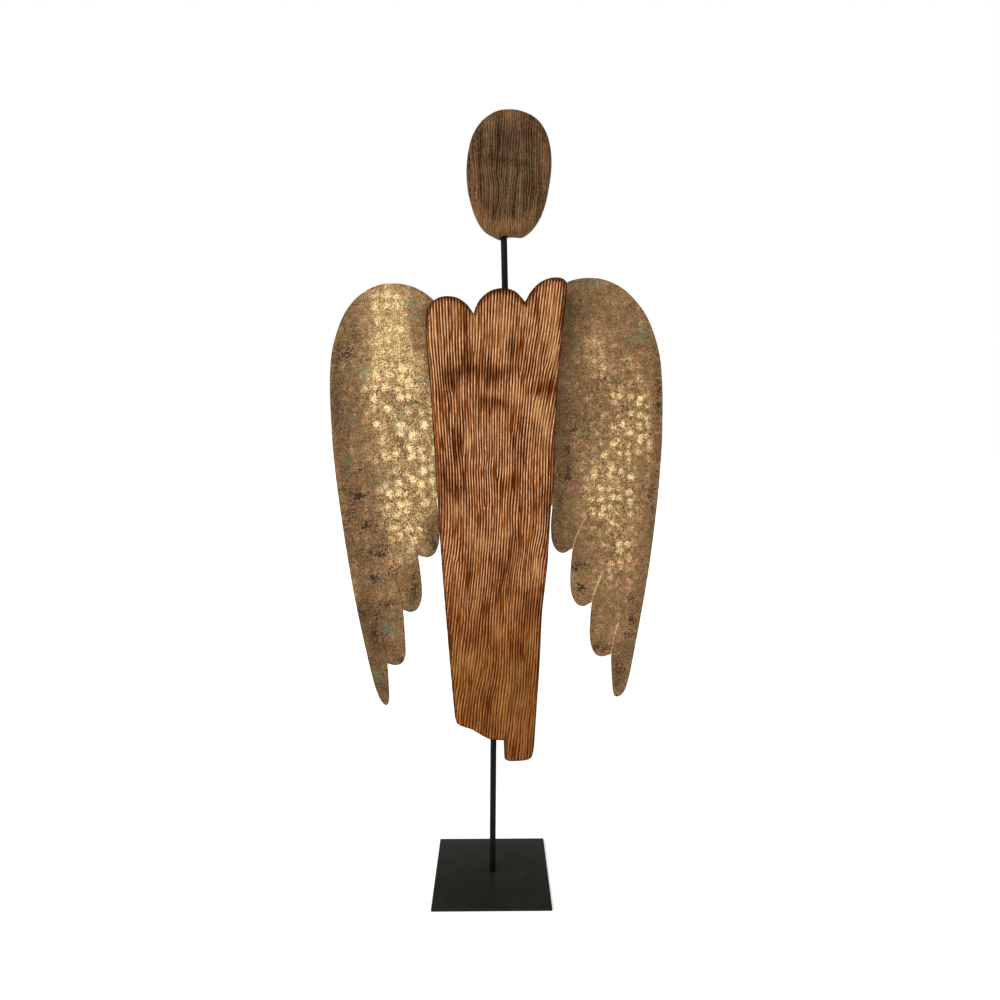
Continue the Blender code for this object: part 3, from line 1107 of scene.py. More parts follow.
@dataclass(frozen=True)
class Grain:
    """Growth rings on a plank's face: where every eighth stands at a few heights, bends, forks and wobble.

    The lattice has steps in X and Z, and runs past the table by a margin in each, all in millimetres.
    """

    heights: tuple[float, ...]
    places: tuple[tuple[float, ...], ...]
    bends: tuple[Bend, ...] = ()
    forks: tuple[Fork, ...] = ()
    wobble_low: float = 0.12
    wobble_high: float = 0.12
    waves: int = 14
    tilt: float = 0.13
    seed: int = 1
    ring_step: int = 8
    steps: Reach = (0.5, 1.5)
    margins: Reach = (4, 12)

    def lattice(self) -> tuple[np.ndarray, np.ndarray, np.ndarray]:
        """Work the rings out on a fine lattice.

        Returns:
            The lattice's X values, its Z values, and the ring number at each Z and X.
        """
        bottom, top = self.heights[-1], self.heights[0]
        zs = np.arange(bottom - self.margins[1], top + self.margins[1], self.steps[1])
        table = np.array(self.places)
        order = np.argsort(self.heights)
        heights = np.array(self.heights)[order]
        columns = np.stack([self.eased(zs, heights, table[order, k]) for k in range(table.shape[1])], axis=1)
        known = np.arange(table.shape[1]) * self.ring_step
        fine = np.arange(0, known[-1] + 1e-9, 1.0)
        xs = np.arange(table.min() - self.margins[0], table.max() + self.margins[0], self.steps[0])
        rings = np.stack([np.interp(xs, self.eased(fine, known, row), fine) for row in columns])
        xx, zz = np.meshgrid(xs, zs)
        for bend in self.bends:
            rings = rings + bend.shift(xx, zz)
        draw = np.random.default_rng(self.seed)
        share = np.clip((zz - bottom) / (top - bottom), 0, 1)
        amount = self.wobble_low + (self.wobble_high - self.wobble_low) * share
        for _ in range(self.waves):
            wide, tall = draw.uniform(18, 60), draw.uniform(35, 160)
            phase = draw.uniform(0, 2 * math.pi)
            turns = xx / wide * draw.choice([-1, 1]) + zz / tall
            rings = rings + amount / 3 * np.sin(2 * math.pi * turns + phase)
        return xs, zs, rings

    @staticmethod
    def eased(at: np.ndarray, knots: np.ndarray, values: np.ndarray) -> np.ndarray:
        """Follow a smooth curve through knots, with finite-difference slopes.

        Args:
            at: Where the curve is read.
            knots: The knots, rising.
            values: The value at each.

        Returns:
            The values on the curve.
        """
        slopes = np.gradient(values, knots)
        index = np.clip(np.searchsorted(knots, at) - 1, 0, len(knots) - 2)
        after = index + 1
        span = knots[after] - knots[index]
        t = np.clip((at - knots[index]) / span, -1, 2)
        return hermite(t, values[index], span * slopes[index], values[after], span * slopes[after])


class RingMap:
    """Turns places on a plank into ring numbers and back."""

    def __init__(self, grain: Grain, ring_width: float) -> None:
        """Work out the lattice.

        Args:
            grain: The rings.
            ring_width: The mean width of a ring, in millimetres.
        """
        self.ring_width = ring_width
        self.forks = grain.forks
        self.xs, self.zs, self.rings = grain.lattice()

    def smooth_ring(self, points: np.ndarray) -> np.ndarray:
        """Read the ring number without the forks, between the lattice's own.

        Args:
            points: X and Z of each in millimetres.

        Returns:
            The ring number at each.
        """
        u = np.clip((points[:, 0] - self.xs[0]) / (self.xs[1] - self.xs[0]), 0, len(self.xs) - 1.001)
        v = np.clip((points[:, 1] - self.zs[0]) / (self.zs[1] - self.zs[0]), 0, len(self.zs) - 1.001)
        i, j = u.astype(int), v.astype(int)
        u, v = u - i, v - j
        low, high = (self.rings[k, i] * (1 - u) + self.rings[k, i + 1] * u for k in (j, j + 1))
        return low * (1 - v) + high * v

    def ring(self, points: np.ndarray) -> np.ndarray:
        """Give the ring number at each point, forks and all."""
        return self.smooth_ring(points) + sum(fork.shift(*points.T) for fork in self.forks)

    def flat(self, points: np.ndarray) -> np.ndarray:
        """Straighten the grain: points with the ring number in place of X."""
        return np.stack([self.smooth_ring(points) * self.ring_width, points[:, 1]], axis=1)

    def columns(self, heights: np.ndarray, per_ring: int) -> np.ndarray:
        """Lay points in columns that run with the grain.

        Args:
            heights: The Z of each row.
            per_ring: Columns to a ring.

        Returns:
            The points.
        """
        rows = []
        rising = np.arange(len(self.xs)) * 1e-7
        for z in heights:
            probe = np.stack([self.xs, np.full(len(self.xs), z)], axis=1)
            rings = np.maximum.accumulate(np.unwrap(self.ring(probe), period=1.0) + rising)
            marks = np.arange(math.ceil(rings[0]) * per_ring, math.floor(rings[-1]) * per_ring + 1) / per_ring
            rows.append(np.stack([np.interp(marks, rings, self.xs), np.full(len(marks), z)], axis=1))
        return np.concatenate(rows)


# ---------------------------------------------------------------- pieces


@dataclass
class Rod:
    """A round black rod that stands for its CAD node."""

    node: str
    radius: float = 4.0
    sides: int = 48
    rows: int = 24
    end_break: float = 0.4
    hole_sides: int = 40
    hole_spare: float = 0.5

    def axis(self) -> tuple[Vector, Vector]:
        """Find the rod's two ends from its node.

        Returns:
            The lower and the upper end of its axis, in metres.
        """
        places = vertex_places(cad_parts[self.node]) * MM
        middle = (places[:, 2].min() + places[:, 2].max()) / 2
        low, high = (places[places[:, 2] < middle], places[places[:, 2] > middle])
        return tuple(Vector((end.min(axis=0) + end.max(axis=0)) / 2) for end in (low, high))

    def build(self, material: Material) -> Thing:
        """Turn the rod with broken ends.

        Args:
            material: Its finish.

        Returns:
            The rod.
        """
        low, high = self.axis()
        up = (high - low).normalized()
        across = up.cross(Vector((0, 1, 0))).normalized()
        deep = up.cross(across)
        length, cut = (high - low).length / MM, self.end_break
        turns = [2 * math.pi * k / self.sides for k in range(self.sides)]
        spokes = [across * math.cos(turn) + deep * math.sin(turn) for turn in turns]
        bm = bmesh.new()
        rows = []
        for level in (0.0, *np.linspace(cut, length - cut, self.rows).tolist(), length):
            radius = self.radius - (cut if level in (0.0, length) else 0)
            rows.append([bm.verts.new(low + (up * level + way * radius) * MM) for way in spokes])
        for lower, upper in zip(rows, rows[1:]):
            for k in range(self.sides):
                bm.faces.new((lower[k - 1], lower[k], upper[k], upper[k - 1]))
        bm.faces.new(rows[0])
        bm.faces.new(rows[-1])
        return steel_piece(f"{self.node}_turned", bm, material, 40, self.node)

    def drill(self, radius: float) -> Thing:
        """Make a cutter for the rod's hole.

        Args:
            radius: The hole's radius in millimetres.

        Returns:
            The cutter, hidden.
        """
        low, high = self.axis()
        wide, reach = radius * MM, (high - low).length + 2 * self.hole_spare * MM
        turn = Vector((0, 0, 1)).rotation_difference(high - low).to_matrix()
        bm = bmesh.new()
        size = {"radius1": wide, "radius2": wide, "depth": reach}
        bmesh.ops.create_cone(bm, cap_ends=True, segments=self.hole_sides, **size)
        bmesh.ops.rotate(bm, matrix=turn, verts=bm.verts)
        bmesh.ops.translate(bm, vec=(low + high) / 2, verts=bm.verts)
        thing = solid("hole", bm)
        thing.hide_render = True
        return thing

    def touches(self, places: np.ndarray, radius: float) -> np.ndarray:
        """Find the walls of the rod's hole.

        Args:
            places: Vertices in millimetres.
            radius: The distance from the axis that counts.

        Returns:
            True for each vertex around the rod, between its ends.
        """
        low, high = (np.array(end) / MM for end in self.axis())
        length = np.linalg.norm(high - low)
        up = (high - low) / length
        along = (places - low) @ up
        gap = np.linalg.norm(places - low - np.outer(along, up), axis=1)
        return (gap < radius) & (np.abs(along - length / 2) < length / 2 + 2 * self.hole_spare)


@dataclass
class BasePlate:
    """The square plate, its edges softened."""

    node: str = "base_plate"
    edge_radius: float = 0.6
    steps: int = 3

    def build(self, material: Material) -> Thing:
        """Build the plate to its node's box.

        Args:
            material: Its finish.

        Returns:
            The plate.
        """
        low, high = (Vector(corner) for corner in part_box(self.node))
        bm = bmesh.new()
        bmesh.ops.create_cube(bm, size=1)
        bmesh.ops.scale(bm, vec=high - low, verts=bm.verts)
        bmesh.ops.translate(bm, vec=(low + high) / 2, verts=bm.verts)
        rounding = {"offset": self.edge_radius * MM, "segments": self.steps, "profile": 0.5}
        bmesh.ops.bevel(bm, geom=bm.edges, affect="EDGES", **rounding)
        return steel_piece("plate_painted", bm, material, 50, self.node)


@dataclass
class Plank:
    """A sawn and brushed piece of wood that stands for its CAD node."""

    node: str
    slot: str
    grain: Grain
    ring_width: float
    section_depth: float
    rounding: float
    bands: int
    per_ring: int
    row_step: float
    back_per_ring: int
    back_row_step: float
    wall_rows: int
    hole_radius: float
    rule: dict[str, Any]
    marking: Marks
    spacing: float = 0.95
    thickness: float = 28.0
    hole_edge: float = 0.3

    def build(self, rule: Tree, material: Material, rods: Sequence[Rod]) -> Thing:
        """Build, drill, brush and dress the plank.

        Args:
            rule: The geometry tree for brushed wood.
            material: The finish.
            rods: The rods that enter it.

        Returns:
            The plank.
        """
        outline = Outline(smooth_outline(self.node, self.section_depth, self.spacing))
        ring_map = RingMap(self.grain, self.ring_width)
        low, high = outline.points[:, 1].min(), outline.points[:, 1].max()
        front = ring_map.columns(np.arange(low, high, self.row_step), self.per_ring)
        back = ring_map.columns(np.arange(low, high, self.back_row_step), self.back_per_ring)
        half = self.thickness / 2
        skin = Skin(outline, -half, half, self.rounding, self.bands, self.wall_rows)
        thing = skin.mesh(f"{self.node}_brushed", front, back, ring_map.flat)
        for rod in rods:
            cutter = rod.drill(self.hole_radius)
            boolean = thing.modifiers.new("hole", "BOOLEAN")
            boolean.operation, boolean.solver, boolean.object = "DIFFERENCE", "MANIFOLD", cutter
            keep_result(thing)
            bpy.data.objects.remove(cutter)
        places = vertex_places(thing)
        flat, deep = places[:, [0, 2]], places[:, 1]
        depth = np.maximum(deep + half - self.rounding, 0)
        put_attribute(thing, "ring", ring_map.ring(flat) + self.grain.tilt * depth)
        corner = half - self.rounding - np.abs(deep)
        put_attribute(thing, "rim", np.where(corner > -0.01, corner, outline.distance(flat)))
        # The rod holes' walls and rims, painted dark by the finishes as shade in the gap round each rod
        walls = [rod.touches(places, self.hole_radius + self.hole_edge) for rod in rods]
        put_attribute(thing, "hole", np.any(walls, axis=0))
        for marking in WOOD_MARKS:
            marks = soft_spots(places, self.marking.get(marking, ()))
            if marking in FRONT_WEAR:
                marks *= np.clip(-deep / half * 4, 0, 1)
            put_attribute(thing, marking.value, marks)
        saw = {"Saw Spacing": SAW_SPACING, "Saw Slope": SAW_SLOPE}
        apply_rule(thing, rule, {**saw, **self.rule, "Material": material})
        return ride_and_replace(thing, self.node)


@dataclass
class Wing:
    """A sheet wing that stands for its CAD node."""

    side: Side
    seed: int
    marking: Marks
    finish: AgedBrass
    dimple_spacing: float
    dimple_depth: float = 0.45
    wave_depth: float = 0.8
    flat_reach: float = 70.0
    spacing: float = 1.6
    grid_step: float = 1.7
    edge: float = 0.3
    slit_share: float = 0.46
    slit_least: float = 0.14
    slit_most: float = 1.5
    slit_step: float = 0.1
    slit_edge: float = 0.6
    back_share: float = 0.6

    def build(self, rule: Tree) -> Thing:
        """Cut, hammer and dress the wing.

        Args:
            rule: The geometry tree for hammered sheet.

        Returns:
            The wing.
        """
        node = self.side.value
        low, high = (Vector(corner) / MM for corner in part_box(node))
        middle = (low.y + high.y) / 2
        outline = self.close_slits(Outline(smooth_outline(node, middle, self.spacing)))
        xs, zs = np.arange(low.x, high.x, self.grid_step), np.arange(low.z, high.z, self.grid_step)
        grid = np.stack([axis.ravel() for axis in np.meshgrid(xs, zs)], axis=1)
        grid[:, 0] += (np.round((grid[:, 1] - low.z) / self.grid_step) % 2) * self.grid_step / 2
        skin = Skin(outline, low.y, high.y, self.edge, bands=2, wall_rows=1)
        thing = skin.mesh(f"{node}_hammered", grid, grid, lambda points: points)
        places = vertex_places(thing)
        flat = places[:, [0, 2]]
        put_attribute(thing, "rim", outline.distance(flat))
        put_attribute(thing, "slit", self.near_slits(flat, outline))
        share = np.where(places[:, 1] > middle, self.back_share, 1.0)
        for marking, spots in self.marking.items():
            put_attribute(thing, marking.value, soft_spots(places, spots) * share)
        apply_rule(thing, rule, {
            "Dimple Spacing": self.dimple_spacing * MM, "Dimple Depth": self.dimple_depth * MM,
            "Wave Depth": self.wave_depth * MM, "Flat Reach": self.flat_reach * MM, "Seed": self.seed,
            "Material": self.finish.material(),
        })
        return ride_and_replace(thing, node)

    def near_slits(self, points: np.ndarray, outline: Outline) -> np.ndarray:
        """Mark the edges of the slits between feathers, where the finish paints a highlight.

        Args:
            points: Vertices in millimetres, seen from the front.
            outline: The wing's outline, its slits narrowed.

        Returns:
            1 on an edge with sheet just across it, and 0 elsewhere.
        """
        across = self.slit_least + 4 * self.slit_step
        facing = outline.inside(outline.points - outline.inward * across)
        nearest = np.array([outline.tree.find((x, z, 0))[1] for x, z in points])
        return facing[nearest] & (outline.distance(points) < self.slit_edge)

    def close_slits(self, outline: Outline) -> Outline:
        """Narrow the slits between feathers, where sheet lies again just across the edge.

        Args:
            outline: The wing's outline.

        Returns:
            The outline with each side of a slit moved towards the other.
        """
        outward = -outline.inward
        gap = np.zeros(len(outline.points))
        for reach in np.arange(self.slit_most, self.slit_step / 2, -self.slit_step):
            gap[outline.inside(outline.points + outward * reach)] = max(0.0, reach - self.slit_least)
        return Outline(outline.points + outward * (gap * self.slit_share)[:, None])


# ---------------------------------------------------------------- the statue


BODY_GRAIN = Grain(
    heights=(790, 720, 650, 580, 520, 460, 400, 340, 280, 220, 155),
    places=(
        (-100.0, -68.5, -36.2, -3.4, 29.3, 61.4, 92.2, 121.8, 150.4, 179.0),
        (-98.5, -67.9, -37.0, -6.6, 23.7, 54.2, 84.8, 114.6, 143.2, 171.7),
        (-96.0, -67.4, -38.9, -10.5, 17.4, 45.7, 75.0, 105.2, 134.0, 162.6),
        (-95.3, -67.1, -39.8, -13.1, 13.6, 40.3, 67.8, 97.2, 126.5, 155.1),
        (-96.2, -68.1, -41.0, -14.4, 12.2, 39.5, 67.5, 95.2, 123.3, 151.9),
        (-100.1, -71.2, -43.4, -16.6, 10.2, 38.1, 66.4, 93.5, 121.0, 149.5),
        (-105.8, -77.6, -49.4, -20.8, 7.6, 35.5, 63.2, 90.5, 118.1, 146.7),
        (-112.2, -84.0, -55.5, -26.1, 2.9, 30.9, 58.2, 86.0, 114.3, 142.9),
        (-118.4, -90.0, -61.6, -32.1, -2.5, 25.9, 53.1, 81.0, 110.1, 138.7),
        (-124.4, -95.9, -68.0, -38.8, -9.1, 19.4, 47.6, 76.4, 105.7, 134.3),
        (-131.2, -102.6, -74.3, -45.5, -16.4, 13.0, 42.9, 72.3, 101.0, 129.7),
    ),
    bends=(
        Bend(38, 428, 40, 11, 0.8, 70), Bend(-9, 551, 60, 5, 0.3, 12), Bend(-20, 400, 15, 10, 0.3, 60),
        Bend(22, 250, -18, 5, -0.4, 30),
    ),
    forks=(
        Fork(-22, 691, 1), Fork(-49, 641, 1), Fork(36, 666, 1), Fork(26, 591, 1), Fork(52, 636, 1),
        Fork(-36, 562, 1), Fork(7, 533, 1), Fork(43, 708, 1), Fork(67, 674, 1), Fork(-9, 495, 1),
        Fork(-28, 361, 1), Fork(31, 454, -1), Fork(51, 409, 1), Fork(21, 373, 1), Fork(-5, 314, -1),
        Fork(-43, 428, -1), Fork(39, 298, 1), Fork(7, 258, -1), Fork(-25, 269, 1),
    ),
    wobble_low=0.1,
    wobble_high=0.03,
    seed=4,
)

HEAD_GRAIN = Grain(
    heights=(1000, 940, 880, 820),
    places=(
        (-50.0, -24.4, 1.2, 26.8, 52.4, 78.0, 103.6), (-51.5, -25.9, -0.3, 25.3, 50.9, 76.5, 102.1),
        (-52.0, -26.0, -0.2, 25.6, 51.3, 77.0, 102.7), (-53.5, -27.6, -1.7, 24.2, 50.1, 76.0, 101.9),
    ),
    bends=(Bend(8, 870, 30, 9, 0.7, 30),),
    forks=(
        Fork(12, 900, 1), Fork(33, 930, -1), Fork(-5, 935, 1), Fork(45, 880, 1), Fork(22, 862, -1),
        Fork(5, 868, 1),
    ),
    wobble_low=0.14, wobble_high=0.14, seed=9,
)

BODY_WEAR: Marks = {
    Mark.STAIN: (
        (34, 291, 18, 60, 0.3), (37, 194, 18, 32, 0.3), (-55, 759, 17, 5, 0.6), (12, 767, 20, 6, 0.8),
        (-7, 757, 5, 10, 0.4), (-26, 748, 6, 7, 0.45), (-32, 718, 5, 20, 0.4), (-33, 687, 6, 12, 0.45),
        (44, 751, 5, 7, 0.5), (31, 733, 4, 17, 0.35), (-56, 660, 9, 14, 0.7), (-39, 666, 9, 9, 0.5),
        (-49, 641, 8, 10, 0.4), (-22, 671, 10, 7, 0.5), (1, 660, 19, 9, 0.6), (-4, 671, 23, 6, 0.3),
        (27, 693, 5, 17, 0.8), (23, 669, 10, 7, 0.4), (48, 671, 9, 10, 0.5), (67, 649, 11, 11, 0.6),
        (56, 641, 10, 7, 0.35), (81, 646, 8, 10, 0.4), (51, 700, 4, 12, 0.3), (-4, 629, 16, 9, 0.65),
        (16, 625, 10, 9, 0.35), (-41, 585, 6, 13, 0.8), (-42, 565, 8, 10, 0.45), (31, 600, 8, 18, 0.3),
        (25, 575, 8, 18, 0.35), (36, 554, 8, 15, 0.45), (39, 594, 5, 33, 0.3), (53, 588, 5, 15, 0.25),
        (-61, 546, 8, 18, 0.55), (-56, 523, 9, 13, 0.55), (-42, 517, 9, 9, 0.5), (-60, 498, 5, 10, 0.5),
        (-6, 565, 10, 5, 0.4), (-9, 541, 10, 6, 0.45), (-17, 516, 10, 9, 0.35), (11, 523, 11, 10, 0.4),
        (30, 528, 8, 10, 0.35), (1, 499, 6, 10, 0.25), (69, 513, 9, 15, 0.7), (69, 485, 5, 13, 0.45),
        (38, 491, 10, 10, 0.4), (54, 500, 8, 8, 0.3), (68, 454, 5, 15, 0.3), (-28, 421, 10, 17, 0.35),
        (-39, 441, 5, 13, 0.25), (31, 457, 8, 12, 0.5), (24, 437, 10, 14, 0.5), (15, 413, 10, 13, 0.5),
        (31, 387, 8, 10, 0.4), (6, 387, 8, 13, 0.4), (51, 374, 10, 17, 0.45), (60, 361, 6, 10, 0.4),
        (44, 350, 8, 10, 0.35), (-6, 363, 8, 16, 0.45), (-15, 337, 13, 10, 0.45), (-23, 323, 10, 5, 0.4),
        (-46, 349, 8, 10, 0.35), (-57, 324, 5, 13, 0.3), (30, 314, 8, 11, 0.25), (15, 321, 8, 8, 0.2),
        (4, 304, 6, 11, 0.25), (-12, 258, 12, 13, 0.3), (-33, 249, 10, 11, 0.3), (-5, 235, 9, 21, 0.35),
        (-24, 215, 13, 11, 0.3), (3, 205, 10, 13, 0.35), (51, 245, 5, 29, 0.3), (26, 242, 4, 19, 0.35),
        (50, 177, 5, 13, 0.35), (24, 175, 8, 8, 0.25), (11, 354, 5, 16, 0.25), (-51, 390, 5, 18, 0.2),
    ),
    Mark.WORN: (
        (-23, 724, 5, 32, 0.45), (62, 724, 7, 27, 0.15), (80, 663, 6, 25, 0.35), (-44, 733, 5, 20, 0.2),
        (11, 733, 9, 22, 0.6), (36, 741, 5, 10, 0.4), (46, 733, 5, 15, 0.35), (76, 745, 9, 27, 0.5),
        (78, 700, 6, 22, 0.55), (63, 616, 9, 14, 0.5), (69, 594, 6, 15, 0.5), (45, 633, 15, 5, 0.35),
        (8, 640, 23, 5, 0.3), (-43, 491, 9, 11, 0.6), (2, 485, 5, 10, 0.35), (-11, 448, 10, 10, 0.45),
        (-27, 467, 10, 15, 0.3), (17, 463, 8, 9, 0.6), (58, 415, 6, 13, 0.6), (-21, 370, 5, 13, 0.3),
        (8, 333, 5, 18, 0.45), (-20, 301, 16, 11, 0.3), (-36, 287, 12, 11, 0.2), (-37, 305, 8, 11, 0.2),
        (21, 258, 9, 19, 0.35), (42, 245, 8, 27, 0.3), (-53, 285, 5, 13, 0.4), (30, 211, 10, 21, 0.3),
        (37, 287, 8, 13, 0.35), (-33, 377, 5, 16, 0.25), (63, 569, 6, 15, 0.3), (50, 324, 5, 18, 0.25),
        (42, 184, 8, 13, 0.3), (-12, 712, 5, 12, 0.2),
    ),
    Mark.PALE: (
        (-73, 724, 7, 32, 0.4), (-60, 715, 9, 29, 0.4), (-44, 728, 5, 27, 0.4), (-12, 724, 7, 25, 0.4),
        (8, 702, 12, 15, 0.5), (21, 724, 6, 17, 0.35), (46, 736, 6, 17, 0.35), (62, 706, 6, 20, 0.2),
        (68, 743, 10, 24, 0.1), (48, 700, 5, 12, 0.3), (-36, 636, 11, 14, 0.45), (-73, 650, 6, 25, 0.3),
        (10, 640, 23, 5, 0.3), (44, 633, 15, 6, 0.35), (64, 616, 9, 15, 0.3), (-14, 594, 18, 19, 0.5),
        (-32, 574, 6, 25, 0.35), (11, 594, 10, 18, 0.3), (3, 560, 10, 13, 0.3), (-19, 554, 8, 13, 0.3),
        (-12, 528, 13, 5, 0.35), (-43, 495, 8, 11, 0.3), (17, 463, 6, 8, 0.3), (58, 418, 6, 10, 0.3),
        (39, 409, 10, 16, 0.3), (-49, 426, 5, 21, 0.35), (-40, 400, 6, 16, 0.3), (1, 426, 6, 16, 0.25),
        (-65, 594, 6, 18, 0.25), (49, 486, 8, 13, 0.2),
    ),
}

HEAD_MARKS: Marks = {
    Mark.STAIN: (
        (18, 943, 11, 18, 0.5), (48, 885, 12, 21, 0.4), (60, 923, 6, 19, 0.3), (7, 867, 17, 7, 0.35),
        (-16, 923, 4, 14, 0.3), (38, 969, 12, 6, 0.3), (-4, 913, 5, 17, 0.25),
    ),
    Mark.WORN: (
        (56, 937, 5, 14, 0.4), (-6, 950, 7, 6, 0.35), (2, 882, 6, 11, 0.35), (43, 860, 10, 5, 0.4),
        (21, 962, 7, 5, 0.3),
    ),
    Mark.SAW: (
        (4, 925, 10, 4, 0.8), (21, 922, 10, 4, 0.95), (38, 917, 9, 4, 0.9), (40, 954, 11, 7, 0.75),
        (-1, 899, 7, 6, 0.5), (30, 939, 10, 5, 0.4),
    ),
    # Oiled rim, and painted highlight along the lower edge
    Mark.WARM: (
        (23, 978, 9, 8, 0.95), (36, 972, 7, 7, 0.5), (65, 917, 5, 26, 0.85), (-16, 857, 12, 17, 0.8),
        (8, 842, 17, 8, 0.8), (36, 844, 17, 8, 0.8), (-22, 899, 5, 31, 0.5), (-6, 964, 10, 8, 0.5),
        (48, 857, 10, 10, 0.5),
    ),
}

LEFT_WING_MARKS: Marks = {
    # Painted reflection of the lamp, partly rubbed gold
    Mark.POLISH: (
        (-106, 631, 31, 28, 0.9), (-130, 704, 13, 58, 0.35), (-109, 562, 31, 52, 0.6),
        (-109, 503, 26, 42, 0.45), (-121, 440, 21, 29, 0.12), (-139, 640, 21, 23, 0.4),
        (-123, 760, 23, 23, 0.45), (-130, 723, 19, 28, 0.5), (-128, 687, 23, 23, 0.6),
        (-137, 704, 10, 38, 0.25), (-107, 716, 18, 33, 0.15), (-99, 678, 18, 18, 0.35),
        (-131, 659, 26, 13, 0.5), (-99, 644, 16, 10, 0.75), (-129, 638, 13, 9, 0.5),
        (-151, 649, 10, 10, 0.35), (-144, 620, 13, 10, 0.35), (-103, 618, 13, 9, 0.6),
        (-87, 627, 10, 13, 0.45), (-119, 601, 18, 10, 0.4), (-93, 597, 13, 10, 0.65),
        (-145, 597, 10, 10, 0.35), (-135, 579, 13, 10, 0.4), (-109, 574, 18, 13, 0.6),
        (-85, 569, 12, 16, 0.6), (-150, 562, 10, 13, 0.35), (-114, 549, 16, 13, 0.65),
        (-88, 543, 13, 16, 0.55), (-107, 527, 16, 13, 0.6), (-84, 516, 10, 13, 0.5), (-120, 503, 18, 13, 0.6),
        (-94, 493, 13, 13, 0.5), (-131, 477, 13, 11, 0.25), (-107, 469, 16, 13, 0.3),
        (-121, 444, 13, 13, 0.2), (-101, 437, 8, 13, 0.2), (-127, 417, 11, 11, 0.2), (-168, 748, 13, 20, 0.1),
        (-159, 716, 10, 23, 0.1), (-148, 760, 13, 18, 0.25), (-89, 760, 8, 13, 0.2), (-139, 517, 10, 13, 0.2),
    ),
    # Dull patina, and painted shade by the body and at the edges away from the lamp
    Mark.DULL: (
        (-166, 357, 11, 40, 0.4), (-154, 289, 9, 34, 0.35), (-183, 477, 12, 53, 0.1),
        (-197, 595, 9, 65, 0.25), (-105, 384, 9, 21, 0.35), (-195, 697, 10, 20, 0.4),
        (-201, 665, 8, 26, 0.35), (-204, 627, 10, 32, 0.4), (-190, 608, 13, 18, 0.3),
        (-197, 575, 12, 18, 0.4), (-187, 530, 12, 24, 0.4), (-175, 506, 12, 11, 0.4),
        (-186, 471, 8, 24, 0.35), (-162, 470, 12, 11, 0.4), (-153, 437, 13, 13, 0.35),
        (-173, 424, 11, 21, 0.4), (-154, 395, 13, 13, 0.35), (-168, 364, 11, 19, 0.45),
        (-159, 333, 13, 22, 0.5), (-149, 310, 11, 22, 0.45), (-125, 306, 11, 14, 0.35),
        (-105, 381, 11, 21, 0.4), (-144, 246, 11, 19, 0.9), (-160, 289, 7, 16, 0.4), (-81, 453, 8, 19, 0.4),
        (-128, 357, 13, 11, 0.25), (-180, 640, 13, 18, 0.2), (-188, 722, 8, 13, 0.25),
    ),
    Mark.VERDIGRIS: (
        (-102, 757, 9, 6, 0.8), (-101, 739, 8, 5, 0.7), (-164, 672, 12, 17, 0.5), (-90, 658, 13, 4, 0.6),
        (-113, 618, 9, 6, 0.5), (-119, 595, 12, 6, 0.55), (-95, 610, 8, 4, 0.4), (-188, 549, 9, 14, 0.7),
        (-181, 608, 8, 9, 0.45), (-138, 523, 10, 10, 0.6), (-145, 543, 7, 8, 0.35), (-133, 474, 10, 7, 0.5),
        (-165, 448, 8, 8, 0.5), (-173, 395, 5, 8, 0.6), (-142, 333, 9, 9, 0.9), (-127, 327, 5, 7, 0.5),
        (-152, 265, 8, 10, 0.85), (-140, 289, 4, 8, 0.4), (-78, 444, 5, 9, 0.6), (-108, 376, 5, 11, 0.3),
    ),
    Mark.SOOT: (
        (-183, 695, 5, 8, 0.5), (-196, 695, 5, 8, 0.5), (-175, 720, 6, 9, 0.35), (-151, 645, 13, 3, 0.4),
        (-190, 587, 6, 5, 0.4), (-95, 631, 16, 3, 0.35), (-169, 543, 7, 5, 0.5), (-175, 509, 7, 5, 0.85),
        (-165, 470, 7, 5, 0.7), (-136, 488, 5, 8, 0.4), (-81, 464, 7, 12, 0.5), (-76, 441, 4, 9, 0.6),
        (-147, 433, 11, 5, 0.7), (-153, 400, 7, 5, 0.7), (-129, 411, 7, 7, 0.6), (-103, 384, 5, 16, 0.6),
        (-140, 364, 12, 5, 0.55), (-151, 353, 5, 7, 0.6), (-156, 322, 5, 12, 0.6), (-121, 289, 7, 4, 0.6),
        (-116, 574, 9, 4, 0.35), (-185, 488, 5, 8, 0.4), (-172, 354, 5, 8, 0.45),
    ),
}

